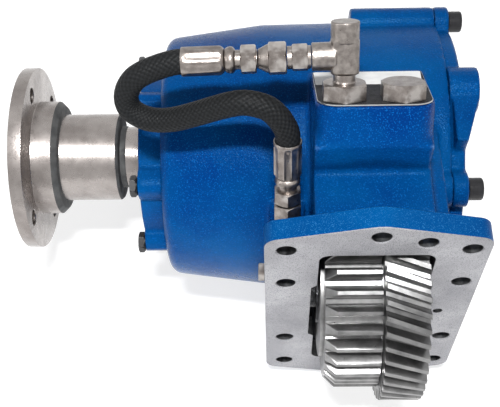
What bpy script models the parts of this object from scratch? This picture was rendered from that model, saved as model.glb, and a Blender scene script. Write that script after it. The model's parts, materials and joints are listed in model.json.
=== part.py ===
"""Side-mounted power take off unit with an oil-operated clutch, in metres.

The origin is the centre of the gearbox opening on the mounting face. The face is the plane y = 0 and
looks along -Y, +X runs along the shafts from the companion flange to the rear cover, and +Z is up.
"""

import math

import bmesh
import bpy
from mathutils import Matrix, Vector

# Fits
GAP = 0.0003
RUNNING_GAP = 0.0005

# Mounting pad
PAD_LEFT_X = -0.0788
PAD_RIGHT_X = 0.0767
PAD_CORNER_HEIGHT = 0.113
PAD_PEAK_HEIGHT = 0.132
PAD_THICKNESS = 0.016
PAD_CORNER_RADIUS = 0.011
PAD_PEAK_RADIUS = 0.030
BOLT_COLUMN_X = 0.0637
BOLT_ROW_HEIGHTS = (0.0497, 0.0995)
BOLT_PEAK_HEIGHT = 0.1172
BOLT_EXTRA_X = 0.0323
BOLT_EXTRA_HEIGHT = 0.109
BOLT_HOLE_RADIUS = 0.0070
BOLT_HOLE_CHAMFER = 0.0005

# Gearbox opening
OPENING_LEFT_X = -0.0408
OPENING_RIGHT_X = 0.0405
OPENING_HALF_HEIGHT = 0.0925
OPENING_CORNER_RADIUS = 0.008
OPENING_BULGE = 0.0042
OPENING_BULGE_HALF_HEIGHT = 0.042

# Gears
INPUT_AXIS_Y = 0.0192
TOOTH_MODULE = 0.00445
PRESSURE_ANGLE = math.radians(20)
SPUR_TEETH = 32
CLUTCH_GEAR_TEETH = 25
TOOTH_THINNING = 0.00035
FLANK_STEPS = 2
SPUR_LEFT_X = -0.0355
SPUR_WIDTH = 0.0408
SPUR_END_BEVEL = 0.008
HELICAL_TEETH = 46
HELICAL_TIP_RADIUS = 0.0857
HELICAL_TOOTH_DEPTH = 0.0080
HELICAL_LEFT_X = 0.0062
HELICAL_WIDTH = 0.0315
HELIX_ANGLE = math.radians(19.5)
HELIX_STEPS = 2
HELICAL_FIRST_TOOTH = math.radians(-3.0)
GEAR_HUB_LEFT_X = -0.0385
GEAR_HUB_RADIUS = 0.052
IDLER_SHAFT_RADIUS = 0.014
IDLER_SHAFT_LEFT_X = -0.054
IDLER_SHAFT_RIGHT_X = 0.0755
NEEDLE_BUSH_WALL = 0.003
NEEDLE_BUSH_LENGTH = 0.034
LOCK_PIN_X = 0.0539
LOCK_PIN_RADIUS = 0.0034
LOCK_PIN_LENGTH = 0.021

# Output axis: one centre distance behind the input axis
OUTPUT_AXIS_Y = INPUT_AXIS_Y + TOOTH_MODULE * (SPUR_TEETH + CLUTCH_GEAR_TEETH) / 2

# Neck of the housing behind the pad
NECK_LEFT_X = -0.044
NECK_RIGHT_X = 0.039
NECK_TOP = 0.1143
NECK_BOTTOM = -0.106
NECK_TOP_LENGTH = 0.0548
SHOULDER_RIGHT_X = 0.049
SHOULDER_TOP = 0.108
SHAFT_WALL_LEFT_X = -0.057
SHAFT_WALL_RIGHT_X = 0.057
SHAFT_WALL_HALF_HEIGHT = 0.055
SHAFT_WALL_BACK_Y = 0.050
SHAFT_BOSS_RADIUS = 0.0190
CAVITY_HALF_HEIGHT = 0.0905
CAVITY_LEFT_X = -0.0405
CAVITY_RIGHT_X = 0.0405

# Drum of the housing
DRUM_LEFT_X = -0.158
DRUM_LEFT_RADIUS = 0.100
DRUM_MIDDLE_X = -0.080
DRUM_MIDDLE_RADIUS = 0.109
DRUM_RIGHT_X = 0.0595
DRUM_RIGHT_RADIUS = 0.1106
DRUM_CORNER_RADIUS = 0.010
DRUM_WALL = 0.008
DRUM_END_WALL = 0.012
TURN_STEPS = 40

# Slanted port block: its lower front edge, tilt and outline
BLOCK_EDGE_Y = 0.072
BLOCK_EDGE_Z = 0.1663
BLOCK_TILT = math.radians(37.3)
BLOCK_LEFT_X = -0.0435
BLOCK_RIGHT_X = 0.0375
BLOCK_FAR_RIGHT_X = 0.0415
BLOCK_LENGTH = 0.093
BLOCK_DEPTH = 0.0286
BLOCK_CORNER_RADIUS = 0.016
STEP_TOP = 0.1433

# Label plate on the port block
PLATE_MARGIN = 0.0015
PLATE_THICKNESS = 0.0010
PLATE_HOLE_RADIUS = 0.0118

# Port fittings on the block, by place along the face and size
LEFT_PORT = (-0.0235, 0.018)
RIGHT_PORT = (0.0165, 0.018)
PORT_HOLE_RADIUS = 0.0113
PORT_HOLE_DEPTH = 0.020
PORT_STEM_LENGTH = 0.014
PORT_HEX_FLATS = 0.0288
PORT_HEX_HEIGHT = 0.0112
PORT_HEX_CHAMFER = 0.0016
ADAPTER_NECK_RADIUS = 0.0075
ADAPTER_NECK_HEIGHT = 0.0058
TEE_BODY_WIDTH = 0.0155
TEE_BODY_HEIGHT = 0.0236
TEE_RUN_RADIUS = 0.0096
TEE_RUN_HEIGHT = 0.0115
TEE_BRANCH_RADIUS = 0.0095
TEE_BRANCH_LENGTH = 0.0222

# Hose ends, measured along each line from its start
HOSE_RADIUS = 0.0087
HOSE_SEAT_DEPTH = 0.006
HOSE_STRAIGHT = 0.003
UPPER_LINE_DROP = 0.038
BRANCH_HEX_FLATS = 0.0168
BRANCH_HEX_LENGTH = 0.0107
BRANCH_NECK_RADIUS = 0.0078
BRANCH_NECK_LENGTH = 0.0022
NUT_FLATS = 0.0205
NUT_LENGTH = 0.0122
NUT_CONE_LENGTH = 0.0070
NIPPLE_NECK_RADIUS = 0.0066
NIPPLE_HEX_FLATS = 0.0182
NIPPLE_HEX_LENGTH = 0.0105
NIPPLE_RING_RADIUS = 0.0092
NIPPLE_RING_LENGTH = 0.0073
NIPPLE_NECK_LENGTH = 0.0035
NIPPLE_START_LENGTH = 0.0008
SOCKET_RADIUS = 0.0100
SOCKET_LENGTH = 0.0290
SOCKET_SIDES = 12
LOWER_PORT = Vector((-0.062, 0.0365, 0.0718))
LOWER_LINE_TILT = math.radians(23)
LOWER_ADAPTER_HEX_FLATS = 0.0190
LOWER_ADAPTER_HEX_LENGTH = 0.0150
LOWER_ADAPTER_NECK_RADIUS = 0.0085
LOWER_ADAPTER_NECK_LENGTH = 0.0058
LOWER_PORT_HOLE_RADIUS = 0.0074
LOWER_PORT_STEM_LENGTH = 0.010
LOWER_BOSS_HALF_WIDTH = 0.0130

# Hose route between the two sockets, chosen by hand
HOSE_ROUTE = (
    (-0.1505, 0.1040, 0.1712),
    (-0.1660, 0.1020, 0.1625),
    (-0.1738, 0.0985, 0.1490),
    (-0.1715, 0.0935, 0.1378),
    (-0.1580, 0.0885, 0.1330),
    (-0.1385, 0.0845, 0.1388),
    (-0.1105, 0.0805, 0.1560),
    (-0.0915, 0.0775, 0.1655),
    (-0.0745, 0.0745, 0.1620),
    (-0.0645, 0.0695, 0.1500),
)
HOSE_SPAN_STEPS = 2

# Small plug in the pad's left edge
GALLERY_PLUG_Y = 0.008
GALLERY_PLUG_Z = 0.053
GALLERY_PLUG_FLATS = 0.0126
GALLERY_PLUG_HEAD = 0.0045
GALLERY_PLUG_STEM_RADIUS = 0.0045
GALLERY_PLUG_STEM_LENGTH = 0.0042

# Front cap on the left end of the drum
CAP_THICKNESS = 0.0192
CAP_BODY_RADIUS = 0.071
CAP_EAR_REACH = 0.0885
CAP_EAR_RADIUS = 0.0125
CAP_BOLT_CIRCLE_RADIUS = 0.076
CAP_BOLT_COUNT = 7
CAP_BOLT_FIRST_ANGLE = math.radians(141.5)
CAP_BOLT_RADIUS = 0.0050
CAP_BOLT_HEX_FLATS = 0.0150
CAP_BOLT_HEAD = 0.0055
CAP_BOLT_LENGTH = 0.0255
CAP_SPIGOT_RADIUS = 0.050
CAP_SPIGOT_LENGTH = 0.006

# Rear cover and its screws
COVER_THICKNESS = 0.0114
COVER_RADIUS = 0.1056
COVER_EAR_RADIUS = 0.0120
COVER_EAR_ROOT = 0.0096
HOUSING_EAR_ROOT = 0.0126
COVER_SCREW_CIRCLE_RADIUS = 0.1100
COVER_SCREW_ANGLES = tuple(math.radians(angle) for angle in (3, 48, 138, 228, 273, 318))
COVER_SCREW_RADIUS = 0.0060
COVER_SCREW_HEAD_RADIUS = 0.0085
COVER_SCREW_HEAD = 0.0112
COVER_SCREW_LENGTH = 0.030
COVER_SCREW_SOCKET_FLATS = 0.010
COVER_SCREW_SOCKET_DEPTH = 0.006
HOUSING_EAR_LEFT_X = -0.008
LOBE_ANGLE = math.radians(95)
LOBE_CENTRE_RADIUS = 0.098
LOBE_RADIUS = 0.0175
LOBE_RIGHT_X = 0.0822
LOBE_WEDGE_LENGTH = 0.050
LOBE_WEDGE_INNER_RADIUS = 0.070
LOBE_WEDGE_OUTER_RADIUS = 0.1105
REAR_PLUG_RADIUS = 0.030
REAR_PLUG_HEAD = 0.005

# Output shaft, its bearings and the companion flange
FLANGE_RADIUS = 0.0762
FLANGE_LEFT_X = -0.2789
FLANGE_THICKNESS = 0.0107
FLANGE_HOLE_CIRCLE_RADIUS = 0.0613
FLANGE_HOLE_RADIUS = 0.0064
FLANGE_HOLE_ANGLES = tuple(math.radians(angle) for angle in (-3.5, 68.5, 176.5, 254))
FLANGE_PILOT_RADIUS = 0.0476
FLANGE_PILOT_DEPTH = 0.002
FLANGE_BOSS_RADIUS = 0.0478
FLANGE_BOSS_CHAMFER = 0.0045
FLANGE_BOSS_RIGHT_X = -0.2472
BARREL_RADIUS = 0.0366
BARREL_RIGHT_X = -0.1989
BARREL_CHAMFER = 0.002
SEAL_JOURNAL_RADIUS = 0.0254
SEAL_JOURNAL_RIGHT_X = -0.160
NUT_RECESS_RADIUS = 0.030
NUT_RECESS_DEPTH = 0.016
SHAFT_SPLINE_RADIUS = 0.0185
SHAFT_THREAD_RADIUS = 0.014
SHAFT_LEFT_X = -0.2755
FLANGE_WASHER_THICKNESS = 0.003
FLANGE_NUT_FLATS = 0.036
FLANGE_NUT_HEIGHT = 0.010
SEAL_RADIUS = 0.0360
SEAL_WIDTH = 0.010
FRONT_BEARING_BORE_RADIUS = 0.0240
FRONT_BEARING_RADIUS = 0.0500
FRONT_BEARING_WIDTH = 0.020
REAR_BEARING_BORE_RADIUS = 0.0200
REAR_BEARING_RADIUS = 0.0390
REAR_BEARING_WIDTH = 0.018
BEARING_RACE_SHARE = 0.3
SHAFT_CLUTCH_RADIUS = 0.0240
SHAFT_SHOULDER_RADIUS = 0.0275
SHAFT_RIGHT_X = 0.066

# Clutch inside the drum
CLUTCH_DRUM_LEFT_X = -0.122
CLUTCH_DRUM_RIGHT_X = -0.059
CLUTCH_DRUM_RADIUS = 0.0840
CLUTCH_DRUM_WALL = 0.0060
CLUTCH_DRUM_WEB = 0.0100
CLUTCH_DRUM_HUB_RADIUS = 0.0335
CLUTCH_DRUM_HUB_LENGTH = 0.0130
PISTON_THICKNESS = 0.0090
PISTON_TRAVEL = 0.0022
DISC_COUNT = 3
FRICTION_DISC_THICKNESS = 0.0038
STEEL_DISC_THICKNESS = 0.0036
DISC_CLEARANCE = 0.0005
FRICTION_DISC_OUTER_RADIUS = 0.0750
STEEL_DISC_INNER_RADIUS = 0.0540
CLUTCH_HUB_OUTER_RADIUS = 0.0500
CLUTCH_HUB_INNER_RADIUS = 0.0430
CLUTCH_HUB_WEB = 0.0090
BACKING_PLATE_THICKNESS = 0.0090
SNAP_RING_THICKNESS = 0.0024
SNAP_RING_GROOVE = 0.0020
SPRING_WIRE_RADIUS = 0.0018
SPRING_TURNS = 3.5
SPRING_LENGTH = 0.026
SPRING_POINTS_A_TURN = 10
RETAINER_RADIUS = 0.0370
RETAINER_THICKNESS = 0.0040
GEAR_BUSH_WALL = 0.0035

FITTING_STEPS = 12
BOLT_STEPS = 10
HIDDEN_STEPS = 20

BLUE = (0.012, 0.075, 0.42)
STEEL = (0.50, 0.48, 0.46)
PLATED = (0.55, 0.50, 0.47)
BLACK = (0.02, 0.02, 0.02)
BRONZE = (0.55, 0.36, 0.16)


# Scene and objects

def clear_scene():
    for obj in list(bpy.data.objects):
        bpy.data.objects.remove(obj, do_unlink=True)


def new_collection(name, parent=None):
    made = bpy.data.collections.new(name)
    (parent or bpy.context.scene.collection).children.link(made)
    return made


clear_scene()
PARTS = new_collection("power_take_off")
CUTTERS = new_collection("cutters")
CUTTERS.hide_render = True


def empty(name, location, parent=None):
    made = bpy.data.objects.new(name, None)
    made.location = location
    made.parent = parent
    PARTS.objects.link(made)
    return made


# Helper curves and profiles are turned into meshes in a scene of their own, which keeps the build short
WORKSHOP = bpy.data.scenes.new("workshop")

UNIT = empty("unit", (0, 0, 0))
INPUT_AXIS = empty("input_axis", (0, INPUT_AXIS_Y, 0), UNIT)
OUTPUT_AXIS = empty("output_axis", (0, OUTPUT_AXIS_Y, 0), UNIT)


def material(name, color, roughness, metallic):
    made = bpy.data.materials.new(name)
    made.use_nodes = True
    shader = made.node_tree.nodes["Principled BSDF"]
    shader.inputs["Base Color"].default_value = (*color, 1)
    shader.inputs["Roughness"].default_value = roughness
    shader.inputs["Metallic"].default_value = metallic
    return made


def piece(name, mesh, finish, parent=UNIT, matrix=None):
    """An object of the part, with its own material, shaded smooth but for its sharp edges."""
    made = bpy.data.objects.new(name, mesh)
    PARTS.objects.link(made)
    made.parent = parent
    if matrix is not None:
        made.matrix_local = matrix
    mesh.materials.clear()
    mesh.materials.append(material(name, *finish))
    mesh.shade_smooth()
    mesh.set_sharp_from_angle(angle=math.radians(30))
    return made


def helpers_of(target, operation):
    """The collection that the target's Boolean of this kind takes its helpers from."""
    name = f"{target.name}_{operation.lower()}"
    found = bpy.data.collections.get(name)
    if found is None:
        found = new_collection(name, CUTTERS)
        modifier = target.modifiers.new(name, "BOOLEAN")
        modifier.operation = operation
        modifier.solver = "EXACT"
        modifier.operand_type = "COLLECTION"
        modifier.collection = found
    return found


def shape(target, operation, name, mesh, parent, matrix):
    """Adds a helper, which isn't a piece itself, to one of the target's Booleans."""
    made = bpy.data.objects.new(name, mesh)
    helpers_of(target, operation).objects.link(made)
    made.parent = parent
    if matrix is not None:
        made.matrix_local = matrix
    made.hide_render = True
    made.display_type = "WIRE"


def cut(target, name, mesh, parent=None, matrix=None):
    shape(target, "DIFFERENCE", name, mesh, parent, matrix)


def fuse(target, name, mesh, parent=None, matrix=None):
    shape(target, "UNION", name, mesh, parent, matrix)


# Meshes

def evaluated_mesh(obj):
    """The object's evaluated mesh, closed and facing out. The object itself is removed."""
    WORKSHOP.collection.objects.link(obj)
    layer = WORKSHOP.view_layers[0]
    layer.update()
    mesh = bpy.data.meshes.new_from_object(obj.evaluated_get(layer.depsgraph))
    bpy.data.objects.remove(obj, do_unlink=True)
    work = bmesh.new()
    work.from_mesh(mesh)
    bmesh.ops.remove_doubles(work, verts=work.verts, dist=1e-6)
    bmesh.ops.recalc_face_normals(work, faces=work.faces)
    work.to_mesh(mesh)
    work.free()
    return mesh


def turned(profile, steps=TURN_STEPS):
    """A mesh turned about X from (x, radius) points: solid if they start and end on the axis, else a ring."""
    mesh = bpy.data.meshes.new("profile")
    edges = [(i, i + 1) for i in range(len(profile) - 1)]
    if profile[0][1] > 0:
        edges.append((len(profile) - 1, 0))
    mesh.from_pydata([(x, radius, 0) for x, radius in profile], edges, [])
    obj = bpy.data.objects.new("profile", mesh)
    screw = obj.modifiers.new("turn", "SCREW")
    screw.axis = "X"
    screw.steps = steps
    screw.render_steps = steps
    screw.use_merge_vertices = True
    screw.merge_threshold = 1e-6
    return evaluated_mesh(obj)


def cylinder(left, right, radius, steps=FITTING_STEPS):
    return turned([(left, 0), (left, radius), (right, radius), (right, 0)], steps)


def tube(left, right, inner, outer, steps=HIDDEN_STEPS):
    return turned([(left, inner), (left, outer), (right, outer), (right, inner)], steps)


def rounded(corners, steps=4):
    """A closed outline through (u, v, radius) corners, each rounded by an arc of that radius."""
    outline = []
    for i, (u, v, radius) in enumerate(corners):
        here = Vector((u, v))
        if radius == 0:
            outline.append(here)
            continue
        before = (Vector(corners[i - 1][:2]) - here).normalized()
        after = (Vector(corners[(i + 1) % len(corners)][:2]) - here).normalized()
        half = before.angle(after) / 2
        centre = here + (before + after).normalized() * radius / math.sin(half)
        start = here + before * radius / math.tan(half) - centre
        end = here + after * radius / math.tan(half) - centre
        turn = start.angle_signed(end)
        for step in range(steps + 1):
            outline.append(centre + Matrix.Rotation(-turn * step / steps, 2) @ start)
    return outline


def plate(outline, low, high):
    """A flat outline in local XY, filled and extruded from low to high along local Z."""
    curve = bpy.data.curves.new("outline", "CURVE")
    curve.dimensions = "2D"
    curve.fill_mode = "BOTH"
    curve.extrude = (high - low) / 2
    spline = curve.splines.new("POLY")
    spline.points.add(len(outline) - 1)
    for point, (u, v) in zip(spline.points, outline):
        point.co = (u, v, 0, 1)
    spline.use_cyclic_u = True
    obj = bpy.data.objects.new("outline", curve)
    mesh = evaluated_mesh(obj)
    mesh.transform(Matrix.Translation((0, 0, (low + high) / 2)))
    return mesh


def box(low, high):
    work = bmesh.new()
    bmesh.ops.create_cube(work, size=1)
    mesh = bpy.data.meshes.new("box")
    work.to_mesh(mesh)
    work.free()
    sides = [b - a for a, b in zip(low, high)]
    middle = [(a + b) / 2 for a, b in zip(low, high)]
    mesh.transform(Matrix.Translation(middle) @ Matrix.Diagonal((*sides, 1)))
    return mesh


def regular(count, flats):
    """A regular outline of the given width across flats, with a corner toward -V."""
    reach = flats / 2 / math.cos(math.pi / count)
    angles = [2 * math.pi * i / count - math.pi / 2 for i in range(count)]
    return [(reach * math.cos(a), reach * math.sin(a)) for a in angles]


def frame_from(axes, point):
    """A placing matrix whose local X, Y and Z are the given directions."""
    matrix = Matrix([Vector(axis).normalized() for axis in axes]).transposed().to_4x4()
    matrix.translation = point
    return matrix


# Local X, Y, Z of a plate drawn in a plane of the unit
FACE_FRAME = frame_from(((1, 0, 0), (0, 0, 1), (0, -1, 0)), (0, 0, 0))
SIDE_FRAME = frame_from(((0, 1, 0), (0, 0, 1), (1, 0, 0)), (0, 0, 0))

BLOCK_OUT = Vector((0, math.sin(BLOCK_TILT), math.cos(BLOCK_TILT)))
BLOCK_ALONG = Vector((0, math.cos(BLOCK_TILT), -math.sin(BLOCK_TILT)))
BLOCK_FRAME = frame_from(((1, 0, 0), BLOCK_ALONG, BLOCK_OUT), (0, BLOCK_EDGE_Y, BLOCK_EDGE_Z))


def along(point, direction, side=(1, 0, 0)):
    """A placing matrix whose local X runs along the direction, for turned pieces off the main axes."""
    forward = Vector(direction).normalized()
    across = (Vector(side) - forward * forward.dot(Vector(side))).normalized()
    return frame_from((forward, across, forward.cross(across)), point)


def at_angle(radius, angle):
    """A shift from a shaft axis, with 0 toward +Y and a quarter turn toward +Z."""
    return Vector((0, radius * math.cos(angle), radius * math.sin(angle)))


def hex_on_x(left, right, flats):
    """A hexagon prism along local X."""
    mesh = plate(regular(6, flats), left, right)
    mesh.transform(frame_from(((0, 1, 0), (0, 0, 1), (1, 0, 0)), (0, 0, 0)))
    return mesh


# Gears

def involute_outline(teeth, tip_radius, root_radius, pitch_radius, thinning):
    """One gear outline with involute flanks, with a tooth centred on angle 0."""
    base_radius = pitch_radius * math.cos(PRESSURE_ANGLE)
    pitch_roll = math.tan(PRESSURE_ANGLE) - PRESSURE_ANGLE
    half_tooth = math.pi / 2 / teeth - thinning / 2 / pitch_radius
    start = max(base_radius, root_radius)
    flank = []
    for step in range(FLANK_STEPS + 1):
        radius = start + (tip_radius - start) * step / FLANK_STEPS
        roll = math.acos(base_radius / radius)
        flank.append((radius, half_tooth + pitch_roll - (math.tan(roll) - roll)))
    root_half = min(flank[0][1], math.pi / teeth * 0.85)
    if root_radius < base_radius:
        flank.insert(0, (root_radius, root_half))
    outline = []
    for tooth in range(teeth):
        centre = 2 * math.pi * tooth / teeth
        side = [(radius, centre - angle) for radius, angle in flank]
        side += [(radius, centre + angle) for radius, angle in reversed(flank)]
        outline += [(radius * math.cos(a), radius * math.sin(a)) for radius, a in side]
    return outline


def straight_outline(teeth, tip_radius, root_radius, root_share, tip_share):
    """A gear outline with straight flanks, with a tooth centred on angle 0."""
    outline = []
    pitch = 2 * math.pi / teeth
    for tooth in range(teeth):
        for radius, share in ((root_radius, -root_share), (tip_radius, -tip_share),
                              (tip_radius, tip_share), (root_radius, root_share)):
            angle = pitch * (tooth + share / 2)
            outline.append((radius * math.cos(angle), radius * math.sin(angle)))
    return outline


def gear_mesh(outline, left, right, twist=0.0, steps=1):
    """A gear outline swept along X in steps, turning by twist over its width."""
    work = bmesh.new()
    face = work.faces.new([work.verts.new((left, u, v)) for u, v in outline])
    for step in range(steps):
        made = bmesh.ops.extrude_face_region(work, geom=[face])
        if step > 0:
            bmesh.ops.delete(work, geom=[face], context="FACES_ONLY")
        face = next(item for item in made["geom"] if isinstance(item, bmesh.types.BMFace))
        turn = Matrix.Rotation(twist / steps, 3, "X")
        shift = Vector(((right - left) / steps, 0, 0))
        bmesh.ops.rotate(work, verts=face.verts, matrix=turn, cent=(0, 0, 0))
        bmesh.ops.translate(work, verts=face.verts, vec=shift)
    bmesh.ops.recalc_face_normals(work, faces=work.faces)
    mesh = bpy.data.meshes.new("gear")
    work.to_mesh(mesh)
    work.free()
    return mesh


# Finishes: colour, roughness, metallic
PAINT = (BLUE, 0.35, 0.0)
MACHINED = (STEEL, 0.35, 1.0)
PLATING = (PLATED, 0.40, 1.0)
BLACK_OXIDE = (BLACK, 0.40, 0.6)
RUBBER = (BLACK, 0.80, 0.0)
BRONZE_METAL = (BRONZE, 0.40, 1.0)


# Housing

def pad_outline():
    corners = []
    for x, height in ((PAD_RIGHT_X, 1), (PAD_LEFT_X, 1), (PAD_LEFT_X, -1), (PAD_RIGHT_X, -1)):
        corner = (x, height * PAD_CORNER_HEIGHT, PAD_CORNER_RADIUS)
        peak = (0, height * PAD_PEAK_HEIGHT, PAD_PEAK_RADIUS)
        corners += [corner, peak] if x * height > 0 else [corner]
    return rounded(corners)


def opening_outline(grow=0.0):
    left = OPENING_LEFT_X - grow
    right = OPENING_RIGHT_X + grow
    high = OPENING_HALF_HEIGHT + grow
    bulge = OPENING_BULGE_HALF_HEIGHT
    radius = OPENING_CORNER_RADIUS
    slope = OPENING_BULGE
    return rounded([
        (right, high, radius),
        (left, high, radius),
        (left, bulge + slope, 0),
        (left - OPENING_BULGE, bulge, 0),
        (left - OPENING_BULGE, -bulge, 0),
        (left, -bulge - slope, 0),
        (left, -high, radius),
        (right, -high, radius),
    ])


def drum_profile(inset=0.0, left=DRUM_LEFT_X, right=DRUM_RIGHT_X, corner=DRUM_CORNER_RADIUS):
    """The drum's outer profile, or the same profile inset for the hollow inside it."""
    start = DRUM_LEFT_RADIUS - inset
    points = [(left, start - corner)]
    for step in range(1, 5):
        angle = math.pi / 2 * step / 4
        points.append((left + corner * (1 - math.cos(angle)), start - corner * (1 - math.sin(angle))))
    points.append((DRUM_MIDDLE_X, DRUM_MIDDLE_RADIUS - inset))
    points.append((right, DRUM_RIGHT_RADIUS - inset))
    points.append((right, 0))
    return points


def hollow_profile():
    """The hollow of the drum, around the boss that holds the front bearing, with the bearing's bore."""
    bore = FRONT_BEARING_RADIUS + GAP
    return [
        (DRUM_LEFT_X - 0.010, 0), (DRUM_LEFT_X - 0.010, bore), (FRONT_BEARING_RIGHT_X, bore),
        (FRONT_BEARING_RIGHT_X, FRONT_BOSS_RADIUS), (CAVITY_LEFT_END_X, FRONT_BOSS_RADIUS),
        *drum_profile(DRUM_WALL, CAVITY_LEFT_END_X, DRUM_RIGHT_X + 0.010, DRUM_CORNER_RADIUS / 2),
    ]


def block_outline(margin=0.0):
    left = BLOCK_LEFT_X + margin
    radius = BLOCK_CORNER_RADIUS - margin
    return rounded([
        (left, margin, radius),
        (BLOCK_RIGHT_X - margin, margin, radius),
        (BLOCK_FAR_RIGHT_X - margin, BLOCK_LENGTH - margin, 0.002),
        (left, BLOCK_LENGTH - margin, 0.002),
    ])


def bolt_places():
    """Every bolt hole of the pad as (x, z)."""
    places = [(side * BOLT_COLUMN_X, row * height)
              for side in (-1, 1) for row in (-1, 1) for height in BOLT_ROW_HEIGHTS]
    places += [(0, BOLT_PEAK_HEIGHT), (0, -BOLT_PEAK_HEIGHT), (BOLT_EXTRA_X, BOLT_EXTRA_HEIGHT)]
    return places


LOWER_LINE = Vector((0, math.sin(LOWER_LINE_TILT), math.cos(LOWER_LINE_TILT)))
CAP_RIGHT_X = DRUM_LEFT_X - GAP
CAP_LEFT_X = CAP_RIGHT_X - CAP_THICKNESS
COVER_LEFT_X = DRUM_RIGHT_X + GAP
COVER_RIGHT_X = COVER_LEFT_X + COVER_THICKNESS
CAVITY_LEFT_END_X = DRUM_LEFT_X + DRUM_END_WALL
FRONT_BEARING_LEFT_X = CAP_RIGHT_X + CAP_SPIGOT_LENGTH + GAP
FRONT_BEARING_RIGHT_X = FRONT_BEARING_LEFT_X + FRONT_BEARING_WIDTH
FRONT_BOSS_RADIUS = FRONT_BEARING_RADIUS + 0.009
REAR_BEARING_RIGHT_X = COVER_RIGHT_X - 0.006
REAR_BEARING_LEFT_X = REAR_BEARING_RIGHT_X - REAR_BEARING_WIDTH
REAR_BOSS_RADIUS = REAR_BEARING_RADIUS + 0.008
CAP_BOLT_ANGLES = [CAP_BOLT_FIRST_ANGLE + 2 * math.pi * i / CAP_BOLT_COUNT for i in range(CAP_BOLT_COUNT)]


def pad_mass():
    return plate(pad_outline(), -PAD_THICKNESS, 0)


def neck_mass():
    outline = [
        (PAD_THICKNESS / 2, NECK_BOTTOM), (PAD_THICKNESS / 2, NECK_TOP),
        (NECK_TOP_LENGTH + 0.010, NECK_TOP), (OUTPUT_AXIS_Y, NECK_TOP - 0.025),
        (OUTPUT_AXIS_Y, NECK_BOTTOM + 0.010), (NECK_TOP_LENGTH, NECK_BOTTOM),
    ]
    return plate(outline, NECK_LEFT_X, NECK_RIGHT_X)


def shoulder_mass():
    outline = [
        (PAD_THICKNESS / 2, -SHOULDER_TOP + 0.010), (PAD_THICKNESS / 2, SHOULDER_TOP),
        (NECK_TOP_LENGTH - 0.004, SHOULDER_TOP), (OUTPUT_AXIS_Y, SHOULDER_TOP - 0.012),
        (OUTPUT_AXIS_Y, -SHOULDER_TOP + 0.016),
    ]
    return plate(outline, NECK_RIGHT_X - 0.010, SHOULDER_RIGHT_X)


def step_mass():
    outline = [
        (NECK_TOP_LENGTH, NECK_TOP - 0.030), (NECK_TOP_LENGTH, STEP_TOP),
        (BLOCK_EDGE_Y + 0.008, STEP_TOP - 0.003), (OUTPUT_AXIS_Y - 0.006, 0.100),
        (OUTPUT_AXIS_Y - 0.006, NECK_TOP - 0.030),
    ]
    return plate(outline, NECK_LEFT_X, NECK_RIGHT_X - 0.0015)


def lower_boss_mass():
    """The block that carries the lower hose fitting, grown out of the drum behind the pad."""
    half = LOWER_BOSS_HALF_WIDTH
    across = (math.cos(LOWER_LINE_TILT), -math.sin(LOWER_LINE_TILT))
    face = [(LOWER_PORT.y + side * half * across[0], LOWER_PORT.z + side * half * across[1])
            for side in (-1, 1)]
    outline = face + [(0.078, 0.070), (0.078, 0.015), (0.040, 0.018), (0.033, 0.044), (0.0215, 0.064)]
    return plate(outline, LOWER_PORT.x - half, LOWER_PORT.x + half)


def screw_boss_mass(left, right, circle_radius, boss_radius, inner_radius):
    """A round screw boss along X with a web toward the shaft axis, its tip toward local +Y."""
    tip = circle_radius + boss_radius
    corners = [
        (inner_radius, -boss_radius * 1.25, 0), (tip, -boss_radius, boss_radius * 0.96),
        (tip, boss_radius, boss_radius * 0.96), (inner_radius, boss_radius * 1.25, 0),
    ]
    return plate(rounded(corners, 4), left, right)


def ear_mass(left, right, reach_radius, ear_radius, inner_radius):
    """A flat ear along X with a web toward the shaft axis, its tip toward local +Y."""
    corners = [
        (inner_radius, -ear_radius * 1.25, 0), (reach_radius - ear_radius * 0.2, -ear_radius, 0),
        (reach_radius + ear_radius, 0, ear_radius * 0.75),
        (reach_radius - ear_radius * 0.2, ear_radius, 0), (inner_radius, ear_radius * 1.25, 0),
    ]
    return plate(rounded(corners, 3), left, right)


def on_output_axis(angle, radius=0.0):
    """Places a plate drawn in (radial, tangential) at an angle about the output axis."""
    turn = Matrix.Rotation(angle, 4, "X")
    return turn @ SIDE_FRAME @ Matrix.Translation((radius, 0, 0))


def housing():
    body = piece("housing", pad_mass(), PAINT, UNIT, FACE_FRAME)
    fuse(body, "mass_neck", neck_mass(), UNIT, SIDE_FRAME)
    fuse(body, "mass_shoulder", shoulder_mass(), UNIT, SIDE_FRAME)
    fuse(body, "mass_drum", turned([(DRUM_LEFT_X, 0), *drum_profile()]), OUTPUT_AXIS)
    fuse(body, "mass_step", step_mass(), UNIT, SIDE_FRAME)
    fuse(body, "mass_block", plate(block_outline(), -BLOCK_DEPTH, 0), UNIT, BLOCK_FRAME)
    wall = box((SHAFT_WALL_LEFT_X, PAD_THICKNESS / 2, -SHAFT_WALL_HALF_HEIGHT),
               (SHAFT_WALL_RIGHT_X, SHAFT_WALL_BACK_Y, SHAFT_WALL_HALF_HEIGHT))
    fuse(body, "mass_shaft_walls", wall)
    boss = cylinder(0.030, PAD_RIGHT_X - 0.0005, SHAFT_BOSS_RADIUS, HIDDEN_STEPS)
    fuse(body, "mass_shaft_boss", boss, INPUT_AXIS)
    fuse(body, "mass_lower_boss", lower_boss_mass(), UNIT, SIDE_FRAME)
    for i, angle in enumerate(COVER_SCREW_ANGLES):
        ear = screw_boss_mass(HOUSING_EAR_LEFT_X, DRUM_RIGHT_X, COVER_SCREW_CIRCLE_RADIUS, COVER_EAR_RADIUS,
                              DRUM_RIGHT_RADIUS - HOUSING_EAR_ROOT)
        fuse(body, f"mass_ear_{i + 1}", ear, OUTPUT_AXIS, on_output_axis(angle))
    cut_hollows(body)
    cut_holes(body)
    return body


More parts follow.
